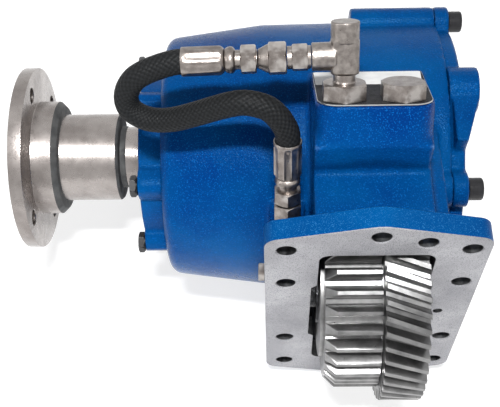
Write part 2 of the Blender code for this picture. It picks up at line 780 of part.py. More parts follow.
def cut_hollows(body):
    cut(body, "hollow_drum", turned(hollow_profile()), OUTPUT_AXIS)
    cut(body, "hollow_opening", plate(opening_outline(), -PAD_THICKNESS - 0.004, 0.004), UNIT, FACE_FRAME)
    neck = box((CAVITY_LEFT_X, PAD_THICKNESS - 0.001, -CAVITY_HALF_HEIGHT),
               (CAVITY_RIGHT_X, OUTPUT_AXIS_Y - 0.060, CAVITY_HALF_HEIGHT))
    cut(body, "hollow_neck", neck)


def cut_holes(body):
    reach = IDLER_SHAFT_RADIUS + GAP
    cut(body, "bore_idler", cylinder(IDLER_SHAFT_LEFT_X - GAP, PAD_RIGHT_X + 0.010, reach, HIDDEN_STEPS), INPUT_AXIS)
    for i, (x, z) in enumerate(bolt_places()):
        profile = [
            (-0.010, 0), (-0.010, BOLT_HOLE_RADIUS + BOLT_HOLE_CHAMFER + 0.010),
            (BOLT_HOLE_CHAMFER, BOLT_HOLE_RADIUS), (PAD_THICKNESS + 0.006, BOLT_HOLE_RADIUS),
            (PAD_THICKNESS + 0.006, 0),
        ]
        cut(body, f"bolt_hole_{i + 1}", turned(profile, BOLT_STEPS), UNIT, along((x, 0, z), (0, 1, 0)))
    pin = cylinder(-0.010, LOCK_PIN_LENGTH + 0.0012 + GAP, LOCK_PIN_RADIUS + GAP, BOLT_STEPS)
    cut(body, "hole_lock_pin", pin, UNIT, along((LOCK_PIN_X, 0, 0), (0, 1, 0)))
    for name, (u, v) in (("left", LEFT_PORT), ("right", RIGHT_PORT)):
        hole = cylinder(-PORT_HOLE_DEPTH, 0.010, PORT_HOLE_RADIUS)
        place = BLOCK_FRAME @ Matrix.Translation((u, v, 0)) @ along((0, 0, 0), (0, 0, 1))
        cut(body, f"hole_port_{name}", hole, UNIT, place)
    lower = cylinder(-LOWER_PORT_STEM_LENGTH - 0.003, 0.010, LOWER_PORT_HOLE_RADIUS)
    cut(body, "hole_port_lower", lower, UNIT, along(LOWER_PORT, LOWER_LINE))
    gallery = cylinder(PAD_LEFT_X - 0.010, PAD_LEFT_X + GALLERY_PLUG_STEM_LENGTH + GAP,
                       GALLERY_PLUG_STEM_RADIUS + GAP, BOLT_STEPS)
    cut(body, "hole_gallery", gallery, UNIT, Matrix.Translation((0, GALLERY_PLUG_Y, GALLERY_PLUG_Z)))
    for i, angle in enumerate(CAP_BOLT_ANGLES):
        hole = cylinder(DRUM_LEFT_X - 0.010, CAP_LEFT_X + CAP_BOLT_LENGTH + 0.001,
                        CAP_BOLT_RADIUS + GAP, BOLT_STEPS)
        cut(body, f"hole_cap_{i + 1}", hole, OUTPUT_AXIS,
            Matrix.Translation(at_angle(CAP_BOLT_CIRCLE_RADIUS, angle)))
    for i, angle in enumerate(COVER_SCREW_ANGLES):
        hole = cylinder(COVER_RIGHT_X - COVER_SCREW_LENGTH - 0.001, DRUM_RIGHT_X + 0.010,
                        COVER_SCREW_RADIUS + GAP, BOLT_STEPS)
        cut(body, f"hole_cover_{i + 1}", hole, OUTPUT_AXIS,
            Matrix.Translation(at_angle(COVER_SCREW_CIRCLE_RADIUS, angle)))


# Front cap, rear cover and what holds them

def front_cap():
    profile = [
        (CAP_LEFT_X, SEAL_JOURNAL_RADIUS + 0.0015), (CAP_LEFT_X, CAP_BODY_RADIUS),
        (CAP_RIGHT_X, CAP_BODY_RADIUS), (CAP_RIGHT_X, CAP_SPIGOT_RADIUS),
        (CAP_RIGHT_X + CAP_SPIGOT_LENGTH, CAP_SPIGOT_RADIUS),
        (CAP_RIGHT_X + CAP_SPIGOT_LENGTH, SEAL_JOURNAL_RADIUS + 0.0015),
    ]
    cap = piece("front_cap", turned(profile, 32), PAINT, OUTPUT_AXIS)
    for i, angle in enumerate(CAP_BOLT_ANGLES):
        reach = CAP_EAR_REACH - CAP_EAR_RADIUS
        ear = ear_mass(CAP_LEFT_X, CAP_RIGHT_X, reach, CAP_EAR_RADIUS, CAP_BODY_RADIUS - 0.012)
        fuse(cap, f"mass_cap_ear_{i + 1}", ear, OUTPUT_AXIS, on_output_axis(angle))
    for i, angle in enumerate(CAP_BOLT_ANGLES):
        hole = cylinder(CAP_LEFT_X - 0.010, CAP_RIGHT_X + 0.010, CAP_BOLT_RADIUS + GAP, BOLT_STEPS)
        cut(cap, f"hole_in_cap_{i + 1}", hole, OUTPUT_AXIS,
            Matrix.Translation(at_angle(CAP_BOLT_CIRCLE_RADIUS, angle)))
    seat = cylinder(CAP_LEFT_X - 0.010, CAP_LEFT_X + SEAL_WIDTH + GAP, SEAL_RADIUS + GAP, HIDDEN_STEPS)
    cut(cap, "seat_seal", seat, OUTPUT_AXIS)
    for i, angle in enumerate(CAP_BOLT_ANGLES):
        head_right = CAP_LEFT_X - GAP
        bolt = piece(f"cap_bolt_{i + 1}", hex_on_x(head_right - CAP_BOLT_HEAD, head_right, CAP_BOLT_HEX_FLATS),
                     BLACK_OXIDE, OUTPUT_AXIS, Matrix.Translation(at_angle(CAP_BOLT_CIRCLE_RADIUS, angle)))
        stem = cylinder(head_right - CAP_BOLT_HEAD / 2, head_right + CAP_BOLT_LENGTH, CAP_BOLT_RADIUS, 12)
        fuse(bolt, f"stem_cap_bolt_{i + 1}", stem, bolt)
    inner = SEAL_JOURNAL_RADIUS + RUNNING_GAP
    piece("output_seal", tube(CAP_LEFT_X + 0.0003, CAP_LEFT_X + SEAL_WIDTH, inner, SEAL_RADIUS),
          RUBBER, OUTPUT_AXIS)


def rear_cover():
    profile = [
        (REAR_BEARING_LEFT_X, 0), (REAR_BEARING_LEFT_X, REAR_BOSS_RADIUS),
        (COVER_LEFT_X, REAR_BOSS_RADIUS), (COVER_LEFT_X, COVER_RADIUS),
        (COVER_RIGHT_X - 0.002, COVER_RADIUS), (COVER_RIGHT_X, COVER_RADIUS - 0.002), (COVER_RIGHT_X, 0),
    ]
    cover = piece("rear_cover", turned(profile, TURN_STEPS), PAINT, OUTPUT_AXIS)
    for i, angle in enumerate(COVER_SCREW_ANGLES):
        ear = screw_boss_mass(COVER_LEFT_X, COVER_RIGHT_X, COVER_SCREW_CIRCLE_RADIUS, COVER_EAR_RADIUS,
                              COVER_RADIUS - COVER_EAR_ROOT)
        fuse(cover, f"mass_cover_ear_{i + 1}", ear, OUTPUT_AXIS, on_output_axis(angle))
    lobe = cylinder(COVER_LEFT_X, LOBE_RIGHT_X, LOBE_RADIUS, HIDDEN_STEPS)
    fuse(cover, "mass_lobe", lobe, OUTPUT_AXIS, Matrix.Translation(at_angle(LOBE_CENTRE_RADIUS, LOBE_ANGLE)))
    wedge = plate([(-0.012, COVER_LEFT_X + 0.002), (LOBE_WEDGE_LENGTH, COVER_LEFT_X + 0.002),
                   (LOBE_WEDGE_LENGTH, COVER_RIGHT_X - 0.001), (LOBE_RADIUS * 0.7, LOBE_RIGHT_X),
                   (-0.012, LOBE_RIGHT_X)], LOBE_WEDGE_INNER_RADIUS, LOBE_WEDGE_OUTER_RADIUS)
    wedge_frame = frame_from(((0, -1, 0), (1, 0, 0), (0, 0, 1)), (0, 0, 0))
    fuse(cover, "mass_lobe_wedge", wedge, OUTPUT_AXIS,
         Matrix.Rotation(LOBE_ANGLE - math.pi / 2, 4, "X") @ wedge_frame)
    shaft_way = cylinder(COVER_LEFT_X - 0.010, LOBE_RIGHT_X + 0.010, IDLER_SHAFT_RADIUS + RUNNING_GAP, HIDDEN_STEPS)
    cut(cover, "way_past_idler_shaft", shaft_way, INPUT_AXIS)
    seat = cylinder(REAR_BEARING_LEFT_X - 0.010, REAR_BEARING_RIGHT_X + GAP, REAR_BEARING_RADIUS + GAP,
                    HIDDEN_STEPS)
    cut(cover, "seat_rear_bearing", seat, OUTPUT_AXIS)
    centre = cylinder(0, COVER_RIGHT_X + 0.010, SHAFT_CLUTCH_RADIUS, HIDDEN_STEPS)
    cut(cover, "hole_rear_centre", centre, OUTPUT_AXIS)
    for i, angle in enumerate(COVER_SCREW_ANGLES):
        place = Matrix.Translation(at_angle(COVER_SCREW_CIRCLE_RADIUS, angle))
        hole = cylinder(COVER_LEFT_X - 0.010, COVER_RIGHT_X + 0.010, COVER_SCREW_RADIUS + GAP, BOLT_STEPS)
        cut(cover, f"hole_in_cover_{i + 1}", hole, OUTPUT_AXIS, place)
        head_left = COVER_RIGHT_X + GAP
        profile = [
            (COVER_RIGHT_X - COVER_SCREW_LENGTH, 0), (COVER_RIGHT_X - COVER_SCREW_LENGTH, COVER_SCREW_RADIUS),
            (head_left, COVER_SCREW_RADIUS), (head_left, COVER_SCREW_HEAD_RADIUS),
            (head_left + COVER_SCREW_HEAD - 0.001, COVER_SCREW_HEAD_RADIUS),
            (head_left + COVER_SCREW_HEAD, COVER_SCREW_HEAD_RADIUS - 0.001), (head_left + COVER_SCREW_HEAD, 0),
        ]
        screw = piece(f"cover_screw_{i + 1}", turned(profile, BOLT_STEPS), BLACK_OXIDE, OUTPUT_AXIS, place)
        end = head_left + COVER_SCREW_HEAD
        socket = hex_on_x(end - COVER_SCREW_SOCKET_DEPTH, end + 0.005, COVER_SCREW_SOCKET_FLATS)
        cut(screw, f"socket_cover_screw_{i + 1}", socket, screw)
    plug = [
        (REAR_BEARING_RIGHT_X + 0.001, 0), (REAR_BEARING_RIGHT_X + 0.001, SHAFT_CLUTCH_RADIUS - GAP),
        (COVER_RIGHT_X + GAP, SHAFT_CLUTCH_RADIUS - GAP), (COVER_RIGHT_X + GAP, REAR_PLUG_RADIUS),
        (COVER_RIGHT_X + REAR_PLUG_HEAD, REAR_PLUG_RADIUS), (COVER_RIGHT_X + REAR_PLUG_HEAD, 0),
    ]
    piece("rear_centre_plug", turned(plug, HIDDEN_STEPS), PAINT, OUTPUT_AXIS)


# Input gears on their fixed shaft

def input_gears():
    # A gap of the spur gear faces the clutch gear, and one of that gear's teeth stands in it
    pitch_radius = TOOTH_MODULE * SPUR_TEETH / 2
    tip_radius = pitch_radius + TOOTH_MODULE
    root_radius = pitch_radius - 1.25 * TOOTH_MODULE
    outline = involute_outline(SPUR_TEETH, tip_radius, root_radius, pitch_radius, TOOTH_THINNING)
    spur_right = SPUR_LEFT_X + SPUR_WIDTH
    bush_radius = IDLER_SHAFT_RADIUS + RUNNING_GAP + NEEDLE_BUSH_WALL
    spur = piece("spur_gear", gear_mesh(outline, SPUR_LEFT_X, spur_right), MACHINED, INPUT_AXIS,
                 Matrix.Rotation(math.pi / SPUR_TEETH, 4, "X"))
    hub = cylinder(GEAR_HUB_LEFT_X, spur_right - 0.002, GEAR_HUB_RADIUS, HIDDEN_STEPS)
    fuse(spur, "mass_spur_hub", hub, INPUT_AXIS)
    bevel = turned([
        (SPUR_LEFT_X - 0.010, tip_radius + 0.020), (SPUR_LEFT_X - 0.010, tip_radius - SPUR_END_BEVEL - 0.010),
        (SPUR_LEFT_X + SPUR_END_BEVEL + 0.004, tip_radius + 0.004),
        (SPUR_LEFT_X + SPUR_END_BEVEL + 0.004, tip_radius + 0.020),
    ], TURN_STEPS)
    cut(spur, "bevel_spur", bevel, INPUT_AXIS)
    bore = cylinder(GEAR_HUB_LEFT_X - 0.010, spur_right + 0.010, bush_radius + GAP, HIDDEN_STEPS)
    cut(spur, "bore_spur", bore, INPUT_AXIS)

    twist = HELICAL_WIDTH * math.tan(HELIX_ANGLE) / HELICAL_TIP_RADIUS
    root = HELICAL_TIP_RADIUS - HELICAL_TOOTH_DEPTH
    outline = straight_outline(HELICAL_TEETH, HELICAL_TIP_RADIUS, root, 0.66, 0.34)
    helical_right = HELICAL_LEFT_X + HELICAL_WIDTH
    helical = piece("helical_gear", gear_mesh(outline, HELICAL_LEFT_X, helical_right, twist, HELIX_STEPS),
                    MACHINED, INPUT_AXIS, Matrix.Rotation(HELICAL_FIRST_TOOTH, 4, "X"))
    collar = cylinder(spur_right + GAP, HELICAL_LEFT_X + 0.004, GEAR_HUB_RADIUS, HIDDEN_STEPS)
    fuse(helical, "mass_helical_collar", collar, INPUT_AXIS)
    bore = cylinder(SPUR_LEFT_X, helical_right + 0.010, bush_radius + GAP, HIDDEN_STEPS)
    cut(helical, "bore_helical", bore, INPUT_AXIS)

    shaft = [
        (IDLER_SHAFT_LEFT_X, 0), (IDLER_SHAFT_LEFT_X, IDLER_SHAFT_RADIUS - 0.001),
        (IDLER_SHAFT_LEFT_X + 0.001, IDLER_SHAFT_RADIUS), (IDLER_SHAFT_RIGHT_X - 0.001, IDLER_SHAFT_RADIUS),
        (IDLER_SHAFT_RIGHT_X, IDLER_SHAFT_RADIUS - 0.001), (IDLER_SHAFT_RIGHT_X, 0),
    ]
    idler = piece("idler_shaft", turned(shaft, HIDDEN_STEPS), MACHINED, INPUT_AXIS)
    pin_hole = cylinder(-0.060, 0.0045 + LOCK_PIN_LENGTH - INPUT_AXIS_Y - 0.003, LOCK_PIN_RADIUS + GAP,
                        BOLT_STEPS)
    cut(idler, "hole_in_shaft", pin_hole, INPUT_AXIS, along((LOCK_PIN_X, 0, 0), (0, 1, 0)))
    pin = cylinder(0.0012, LOCK_PIN_LENGTH, LOCK_PIN_RADIUS, BOLT_STEPS)
    piece("lock_pin", pin, BLACK_OXIDE, UNIT, along((LOCK_PIN_X, 0, 0), (0, 1, 0)))
    inner = IDLER_SHAFT_RADIUS + RUNNING_GAP
    middle = (GEAR_HUB_LEFT_X + helical_right) / 2
    for name, left in (("left", GEAR_HUB_LEFT_X + 0.001), ("right", middle + 0.001)):
        bush = tube(left, left + NEEDLE_BUSH_LENGTH, inner, bush_radius)
        piece(f"needle_bush_{name}", bush, MACHINED, INPUT_AXIS)
    for name, left, right in (("left", CAVITY_LEFT_X + GAP, GEAR_HUB_LEFT_X - GAP),
                              ("right", helical_right + GAP, CAVITY_RIGHT_X - GAP)):
        washer = tube(left, right, inner, IDLER_SHAFT_RADIUS + 0.012)
        piece(f"thrust_washer_{name}", washer, MACHINED, INPUT_AXIS)


# Output shaft, bearings and companion flange

def bearing(name, left, right, bore, outer):
    """A shielded ball bearing as one ring, with a groove on both faces between its races."""
    race = (outer - bore) * BEARING_RACE_SHARE
    groove = 0.0015
    profile = [
        (left, bore), (left, bore + race), (left + groove, bore + race), (left + groove, outer - race),
        (left, outer - race), (left, outer), (right, outer), (right, outer - race),
        (right - groove, outer - race), (right - groove, bore + race), (right, bore + race), (right, bore),
    ]
    return piece(name, turned(profile, HIDDEN_STEPS), MACHINED, OUTPUT_AXIS)


def output_shaft():
    washer_left = FLANGE_LEFT_X + NUT_RECESS_DEPTH - GAP - FLANGE_WASHER_THICKNESS
    profile = [
        (SHAFT_LEFT_X, 0), (SHAFT_LEFT_X, SHAFT_THREAD_RADIUS - 0.001),
        (SHAFT_LEFT_X + 0.001, SHAFT_THREAD_RADIUS), (FLANGE_LEFT_X + NUT_RECESS_DEPTH, SHAFT_THREAD_RADIUS),
        (FLANGE_LEFT_X + NUT_RECESS_DEPTH, SHAFT_SPLINE_RADIUS),
        (SEAL_JOURNAL_RIGHT_X + GAP, SHAFT_SPLINE_RADIUS),
        (SEAL_JOURNAL_RIGHT_X + GAP, FRONT_BEARING_BORE_RADIUS - RUNNING_GAP),
        (FRONT_BEARING_RIGHT_X + GAP, FRONT_BEARING_BORE_RADIUS - RUNNING_GAP),
        (FRONT_BEARING_RIGHT_X + GAP, SHAFT_SHOULDER_RADIUS),
        (CLUTCH_DRUM_LEFT_X - GAP, SHAFT_SHOULDER_RADIUS),
        (CLUTCH_DRUM_LEFT_X - GAP, SHAFT_CLUTCH_RADIUS),
        (REAR_BEARING_LEFT_X - GAP, SHAFT_CLUTCH_RADIUS),
        (REAR_BEARING_LEFT_X - GAP, REAR_BEARING_BORE_RADIUS - RUNNING_GAP),
        (SHAFT_RIGHT_X, REAR_BEARING_BORE_RADIUS - RUNNING_GAP), (SHAFT_RIGHT_X, 0),
    ]
    piece("output_shaft", turned(profile, HIDDEN_STEPS), MACHINED, OUTPUT_AXIS)
    bearing("front_bearing", FRONT_BEARING_LEFT_X, FRONT_BEARING_RIGHT_X, FRONT_BEARING_BORE_RADIUS,
            FRONT_BEARING_RADIUS)
    bearing("rear_bearing", REAR_BEARING_LEFT_X, REAR_BEARING_RIGHT_X, REAR_BEARING_BORE_RADIUS,
            REAR_BEARING_RADIUS)
    washer = tube(washer_left, washer_left + FLANGE_WASHER_THICKNESS, SHAFT_THREAD_RADIUS + GAP,
                  NUT_RECESS_RADIUS - 0.004)
    piece("flange_washer", washer, MACHINED, OUTPUT_AXIS)
    nut = piece("flange_nut", hex_on_x(washer_left - GAP - FLANGE_NUT_HEIGHT, washer_left - GAP,
                                       FLANGE_NUT_FLATS), MACHINED, OUTPUT_AXIS)
    bore = cylinder(FLANGE_LEFT_X - 0.020, washer_left + 0.010, SHAFT_THREAD_RADIUS + GAP, HIDDEN_STEPS)
    cut(nut, "bore_flange_nut", bore, OUTPUT_AXIS)


def companion_flange():
    inner = FLANGE_LEFT_X + FLANGE_THICKNESS
    chamfer = FLANGE_BOSS_CHAMFER
    bore = SHAFT_SPLINE_RADIUS + GAP
    recess = FLANGE_LEFT_X + NUT_RECESS_DEPTH
    profile = [
        (FLANGE_LEFT_X + FLANGE_PILOT_DEPTH, NUT_RECESS_RADIUS),
        (FLANGE_LEFT_X + FLANGE_PILOT_DEPTH, FLANGE_PILOT_RADIUS), (FLANGE_LEFT_X, FLANGE_PILOT_RADIUS),
        (FLANGE_LEFT_X, FLANGE_RADIUS), (inner, FLANGE_RADIUS), (inner, FLANGE_BOSS_RADIUS),
        (FLANGE_BOSS_RIGHT_X - chamfer, FLANGE_BOSS_RADIUS), (FLANGE_BOSS_RIGHT_X, FLANGE_BOSS_RADIUS - chamfer),
        (FLANGE_BOSS_RIGHT_X, BARREL_RADIUS), (BARREL_RIGHT_X - BARREL_CHAMFER, BARREL_RADIUS),
        (BARREL_RIGHT_X, BARREL_RADIUS - BARREL_CHAMFER), (BARREL_RIGHT_X, SEAL_JOURNAL_RADIUS),
        (SEAL_JOURNAL_RIGHT_X, SEAL_JOURNAL_RADIUS), (SEAL_JOURNAL_RIGHT_X, bore),
        (recess + GAP, bore), (recess + GAP, NUT_RECESS_RADIUS),
    ]
    flange = piece("companion_flange", turned(profile, 32), MACHINED, OUTPUT_AXIS)
    for i, angle in enumerate(FLANGE_HOLE_ANGLES):
        hole = cylinder(FLANGE_LEFT_X - 0.010, inner + 0.004, FLANGE_HOLE_RADIUS)
        cut(flange, f"hole_flange_{i + 1}", hole, OUTPUT_AXIS,
            Matrix.Translation(at_angle(FLANGE_HOLE_CIRCLE_RADIUS, angle)))


# Clutch

PISTON_LEFT_X = CLUTCH_DRUM_LEFT_X + CLUTCH_DRUM_WEB + GAP
PISTON_RIGHT_X = PISTON_LEFT_X + PISTON_THICKNESS
PACK_LEFT_X = PISTON_RIGHT_X + PISTON_TRAVEL + DISC_CLEARANCE
CLUTCH_DRUM_BORE = CLUTCH_DRUM_RADIUS - CLUTCH_DRUM_WALL


def clutch_gear():
    pitch_radius = TOOTH_MODULE * CLUTCH_GEAR_TEETH / 2
    outline = involute_outline(CLUTCH_GEAR_TEETH, pitch_radius + TOOTH_MODULE,
                               pitch_radius - 1.25 * TOOTH_MODULE, pitch_radius, TOOTH_THINNING)
    right = SPUR_LEFT_X + SPUR_WIDTH
    gear = piece("clutch_gear", gear_mesh(outline, SPUR_LEFT_X, right), MACHINED, OUTPUT_AXIS,
                 Matrix.Rotation(math.pi, 4, "X"))
    bush_outer = SHAFT_CLUTCH_RADIUS + RUNNING_GAP + GEAR_BUSH_WALL
    hub = turned([
        (PACK_LEFT_X, CLUTCH_HUB_INNER_RADIUS), (PACK_LEFT_X, CLUTCH_HUB_OUTER_RADIUS),
        (SPUR_LEFT_X + 0.004, CLUTCH_HUB_OUTER_RADIUS), (SPUR_LEFT_X + 0.004, bush_outer),
        (SPUR_LEFT_X - CLUTCH_HUB_WEB, bush_outer), (SPUR_LEFT_X - CLUTCH_HUB_WEB, CLUTCH_HUB_INNER_RADIUS),
    ], HIDDEN_STEPS)
    fuse(gear, "mass_clutch_hub", hub, OUTPUT_AXIS)
    bore = cylinder(SPUR_LEFT_X - 0.030, right + 0.010, bush_outer + GAP, HIDDEN_STEPS)
    cut(gear, "bore_clutch_gear", bore, OUTPUT_AXIS)
    bush = tube(SPUR_LEFT_X - CLUTCH_HUB_WEB + 0.001, right - 0.001, SHAFT_CLUTCH_RADIUS + RUNNING_GAP,
                bush_outer)
    piece("gear_bush", bush, BRONZE_METAL, OUTPUT_AXIS)


def clutch_pack():
    """Steel discs held by the drum and friction discs held by the gear's hub, stacked in turn."""
    left = PACK_LEFT_X
    for i in range(DISC_COUNT):
        steel = tube(left, left + STEEL_DISC_THICKNESS, STEEL_DISC_INNER_RADIUS, CLUTCH_DRUM_BORE - GAP)
        piece(f"steel_disc_{i + 1}", steel, MACHINED, OUTPUT_AXIS)
        left += STEEL_DISC_THICKNESS + DISC_CLEARANCE
        friction = tube(left, left + FRICTION_DISC_THICKNESS, CLUTCH_HUB_OUTER_RADIUS + GAP,
                        FRICTION_DISC_OUTER_RADIUS)
        piece(f"friction_disc_{i + 1}", friction, BRONZE_METAL, OUTPUT_AXIS)
        left += FRICTION_DISC_THICKNESS + DISC_CLEARANCE
    backing = tube(left, left + BACKING_PLATE_THICKNESS, STEEL_DISC_INNER_RADIUS, CLUTCH_DRUM_BORE - GAP)
    piece("backing_plate", backing, MACHINED, OUTPUT_AXIS)
    left += BACKING_PLATE_THICKNESS + GAP
    ring = tube(left, left + SNAP_RING_THICKNESS, CLUTCH_DRUM_BORE - 0.004,
                CLUTCH_DRUM_BORE + SNAP_RING_GROOVE - GAP)
    piece("snap_ring", ring, MACHINED, OUTPUT_AXIS)
    return left


def clutch_drum(ring_left):
    web_right = CLUTCH_DRUM_LEFT_X + CLUTCH_DRUM_WEB
    groove_right = ring_left + SNAP_RING_THICKNESS + GAP
    groove = CLUTCH_DRUM_BORE + SNAP_RING_GROOVE
    profile = [
        (CLUTCH_DRUM_LEFT_X, SHAFT_CLUTCH_RADIUS + GAP), (CLUTCH_DRUM_LEFT_X, CLUTCH_DRUM_RADIUS),
        (CLUTCH_DRUM_RIGHT_X, CLUTCH_DRUM_RADIUS), (CLUTCH_DRUM_RIGHT_X, CLUTCH_DRUM_BORE),
        (groove_right, CLUTCH_DRUM_BORE), (groove_right, groove), (ring_left - GAP, groove),
        (ring_left - GAP, CLUTCH_DRUM_BORE), (web_right, CLUTCH_DRUM_BORE),
        (web_right, CLUTCH_DRUM_HUB_RADIUS), (web_right + CLUTCH_DRUM_HUB_LENGTH, CLUTCH_DRUM_HUB_RADIUS),
        (web_right + CLUTCH_DRUM_HUB_LENGTH, SHAFT_CLUTCH_RADIUS + GAP),
    ]
    piece("clutch_drum", turned(profile, HIDDEN_STEPS), MACHINED, OUTPUT_AXIS)
    piston = tube(PISTON_LEFT_X, PISTON_RIGHT_X, CLUTCH_DRUM_HUB_RADIUS + GAP, CLUTCH_DRUM_BORE - GAP)
    piece("clutch_piston", piston, MACHINED, OUTPUT_AXIS)


def helix(radius, length, turns, points_a_turn):
    count = round(turns * points_a_turn)
    angles = [2 * math.pi * turns * i / count for i in range(count + 1)]
    return [(length * a / angles[-1], radius * math.cos(a), radius * math.sin(a)) for a in angles]


def wire(points, radius, resolution=2):
    """A round wire or hose through the points, as a closed mesh."""
    curve = bpy.data.curves.new("wire", "CURVE")
    curve.dimensions = "3D"
    curve.bevel_depth = radius
    curve.bevel_resolution = resolution
    curve.use_fill_caps = True
    spline = curve.splines.new("POLY")
    spline.points.add(len(points) - 1)
    for point, place in zip(spline.points, points):
        point.co = (*place, 1)
    obj = bpy.data.objects.new("wire", curve)
    return evaluated_mesh(obj)


def return_spring():
    """A coil spring between the piston's inner rim and a retainer on the shaft."""
    left = PISTON_RIGHT_X + GAP + SPRING_WIRE_RADIUS
    clear_radius = CLUTCH_DRUM_HUB_RADIUS + RUNNING_GAP + SPRING_WIRE_RADIUS
    coil_radius = clear_radius / math.cos(math.pi / SPRING_POINTS_A_TURN)
    path = helix(coil_radius, SPRING_LENGTH, SPRING_TURNS, SPRING_POINTS_A_TURN)
    mesh = wire(path, SPRING_WIRE_RADIUS, 1)
    piece("return_spring", mesh, MACHINED, OUTPUT_AXIS, Matrix.Translation((left, 0, 0)))
    seat = left + SPRING_LENGTH + SPRING_WIRE_RADIUS + GAP
    retainer = tube(seat, seat + RETAINER_THICKNESS, SHAFT_CLUTCH_RADIUS + GAP, RETAINER_RADIUS + 0.002)
    piece("spring_retainer", retainer, MACHINED, OUTPUT_AXIS)


# Label plate, fittings and hose

def label_plate():
    mesh = plate(block_outline(PLATE_MARGIN), GAP, GAP + PLATE_THICKNESS)
    made = piece("label_plate", mesh, BLACK_OXIDE, UNIT, BLOCK_FRAME)
    for name, (u, v) in (("left", LEFT_PORT), ("right", RIGHT_PORT)):
        hole = cylinder(-0.010, 0.010, PLATE_HOLE_RADIUS)
        place = BLOCK_FRAME @ Matrix.Translation((u, v, 0)) @ along((0, 0, 0), (0, 0, 1))
        cut(made, f"hole_plate_{name}", hole, UNIT, place)


def chamfered_hex(name, length, flats, chamfer, finish, place):
    """A hexagon prism whose far end is turned down, along local X of its place."""
    made = piece(name, hex_on_x(0, length, flats), finish, UNIT, place)
    reach = flats / 2 / math.cos(math.pi / 6)
    past = 0.001
    ring = turned([
        (length - chamfer, reach), (length + past, reach - 2 * (chamfer + past)),
        (length + past, reach + past), (length - chamfer, reach + past),
    ], FITTING_STEPS)
    cut(made, f"chamfer_{name}", ring, made)
    return made


def block_place(port, lift):
    return BLOCK_FRAME @ Matrix.Translation((port[0], port[1], lift)) @ along((0, 0, 0), (0, 0, 1))


PORT_SEAT = GAP + PLATE_THICKNESS + GAP


def port_fittings():
    stem = cylinder(-PORT_SEAT - PORT_STEM_LENGTH, 0.004, PORT_HOLE_RADIUS - GAP)
    adapter = chamfered_hex("port_adapter", PORT_HEX_HEIGHT, PORT_HEX_FLATS, PORT_HEX_CHAMFER, PLATING,
                            block_place(LEFT_PORT, PORT_SEAT))
    fuse(adapter, "stem_port_adapter", stem, adapter)
    neck = cylinder(PORT_HEX_HEIGHT - 0.002, PORT_HEX_HEIGHT + ADAPTER_NECK_HEIGHT, ADAPTER_NECK_RADIUS)
    fuse(adapter, "neck_port_adapter", neck, adapter)
    plug = chamfered_hex("port_plug", PORT_HEX_HEIGHT, PORT_HEX_FLATS, PORT_HEX_CHAMFER, PLATING,
                         block_place(RIGHT_PORT, PORT_SEAT))
    fuse(plug, "stem_port_plug", stem.copy(), plug)


TEE_SEAT = PORT_SEAT + PORT_HEX_HEIGHT + ADAPTER_NECK_HEIGHT + GAP
BRANCH_START = BLOCK_FRAME @ Vector((LEFT_PORT[0], LEFT_PORT[1], TEE_SEAT + TEE_BODY_HEIGHT / 2))
UPPER_LINE = Vector((-1, 0, -UPPER_LINE_DROP)).normalized()


def tee_fitting():
    half = TEE_BODY_WIDTH / 2
    corner = 0.0025
    outline = rounded([(half, half, corner), (-half, half, corner), (-half, -half, corner),
                       (half, -half, corner)], 3)
    place = BLOCK_FRAME @ Matrix.Translation((LEFT_PORT[0], LEFT_PORT[1], TEE_SEAT))
    tee = piece("tee_fitting", plate(outline, 0, TEE_BODY_HEIGHT), PLATING, UNIT, place)
    run_end = TEE_BODY_HEIGHT + TEE_RUN_HEIGHT
    run = turned([
        (TEE_BODY_HEIGHT - 0.006, 0), (TEE_BODY_HEIGHT - 0.002, TEE_RUN_RADIUS),
        (run_end - 0.001, TEE_RUN_RADIUS), (run_end, TEE_RUN_RADIUS - 0.001), (run_end, 0),
    ], FITTING_STEPS)
    fuse(tee, "run_tee", run, tee, along((0, 0, 0), (0, 0, 1)))
    branch = turned([
        (0.001, 0), (0.006, TEE_BRANCH_RADIUS), (TEE_BRANCH_LENGTH, TEE_BRANCH_RADIUS),
        (TEE_BRANCH_LENGTH, 0),
    ], FITTING_STEPS)
    fuse(tee, "branch_tee", branch, UNIT, along(BRANCH_START, UPPER_LINE, (0, 0, 1)))


def swivel_nut(name, start, direction, side):
    """The nut that joins a hose end to its adapter. Returns where the nipple starts."""
    nut = piece(name, hex_on_x(0, NUT_LENGTH, NUT_FLATS), PLATING, UNIT, along(start, direction, side))
    cone_end = NUT_LENGTH + NUT_CONE_LENGTH
    cone = turned([(NUT_LENGTH - 0.003, 0), (NUT_LENGTH - 0.003, NUT_FLATS / 2 - 0.0006),
                   (NUT_LENGTH, NUT_FLATS / 2 - 0.0006), (cone_end, NIPPLE_NECK_RADIUS), (cone_end, 0)],
                  FITTING_STEPS)
    fuse(nut, f"cone_{name}", cone, nut)
    return start + direction * (cone_end + GAP)


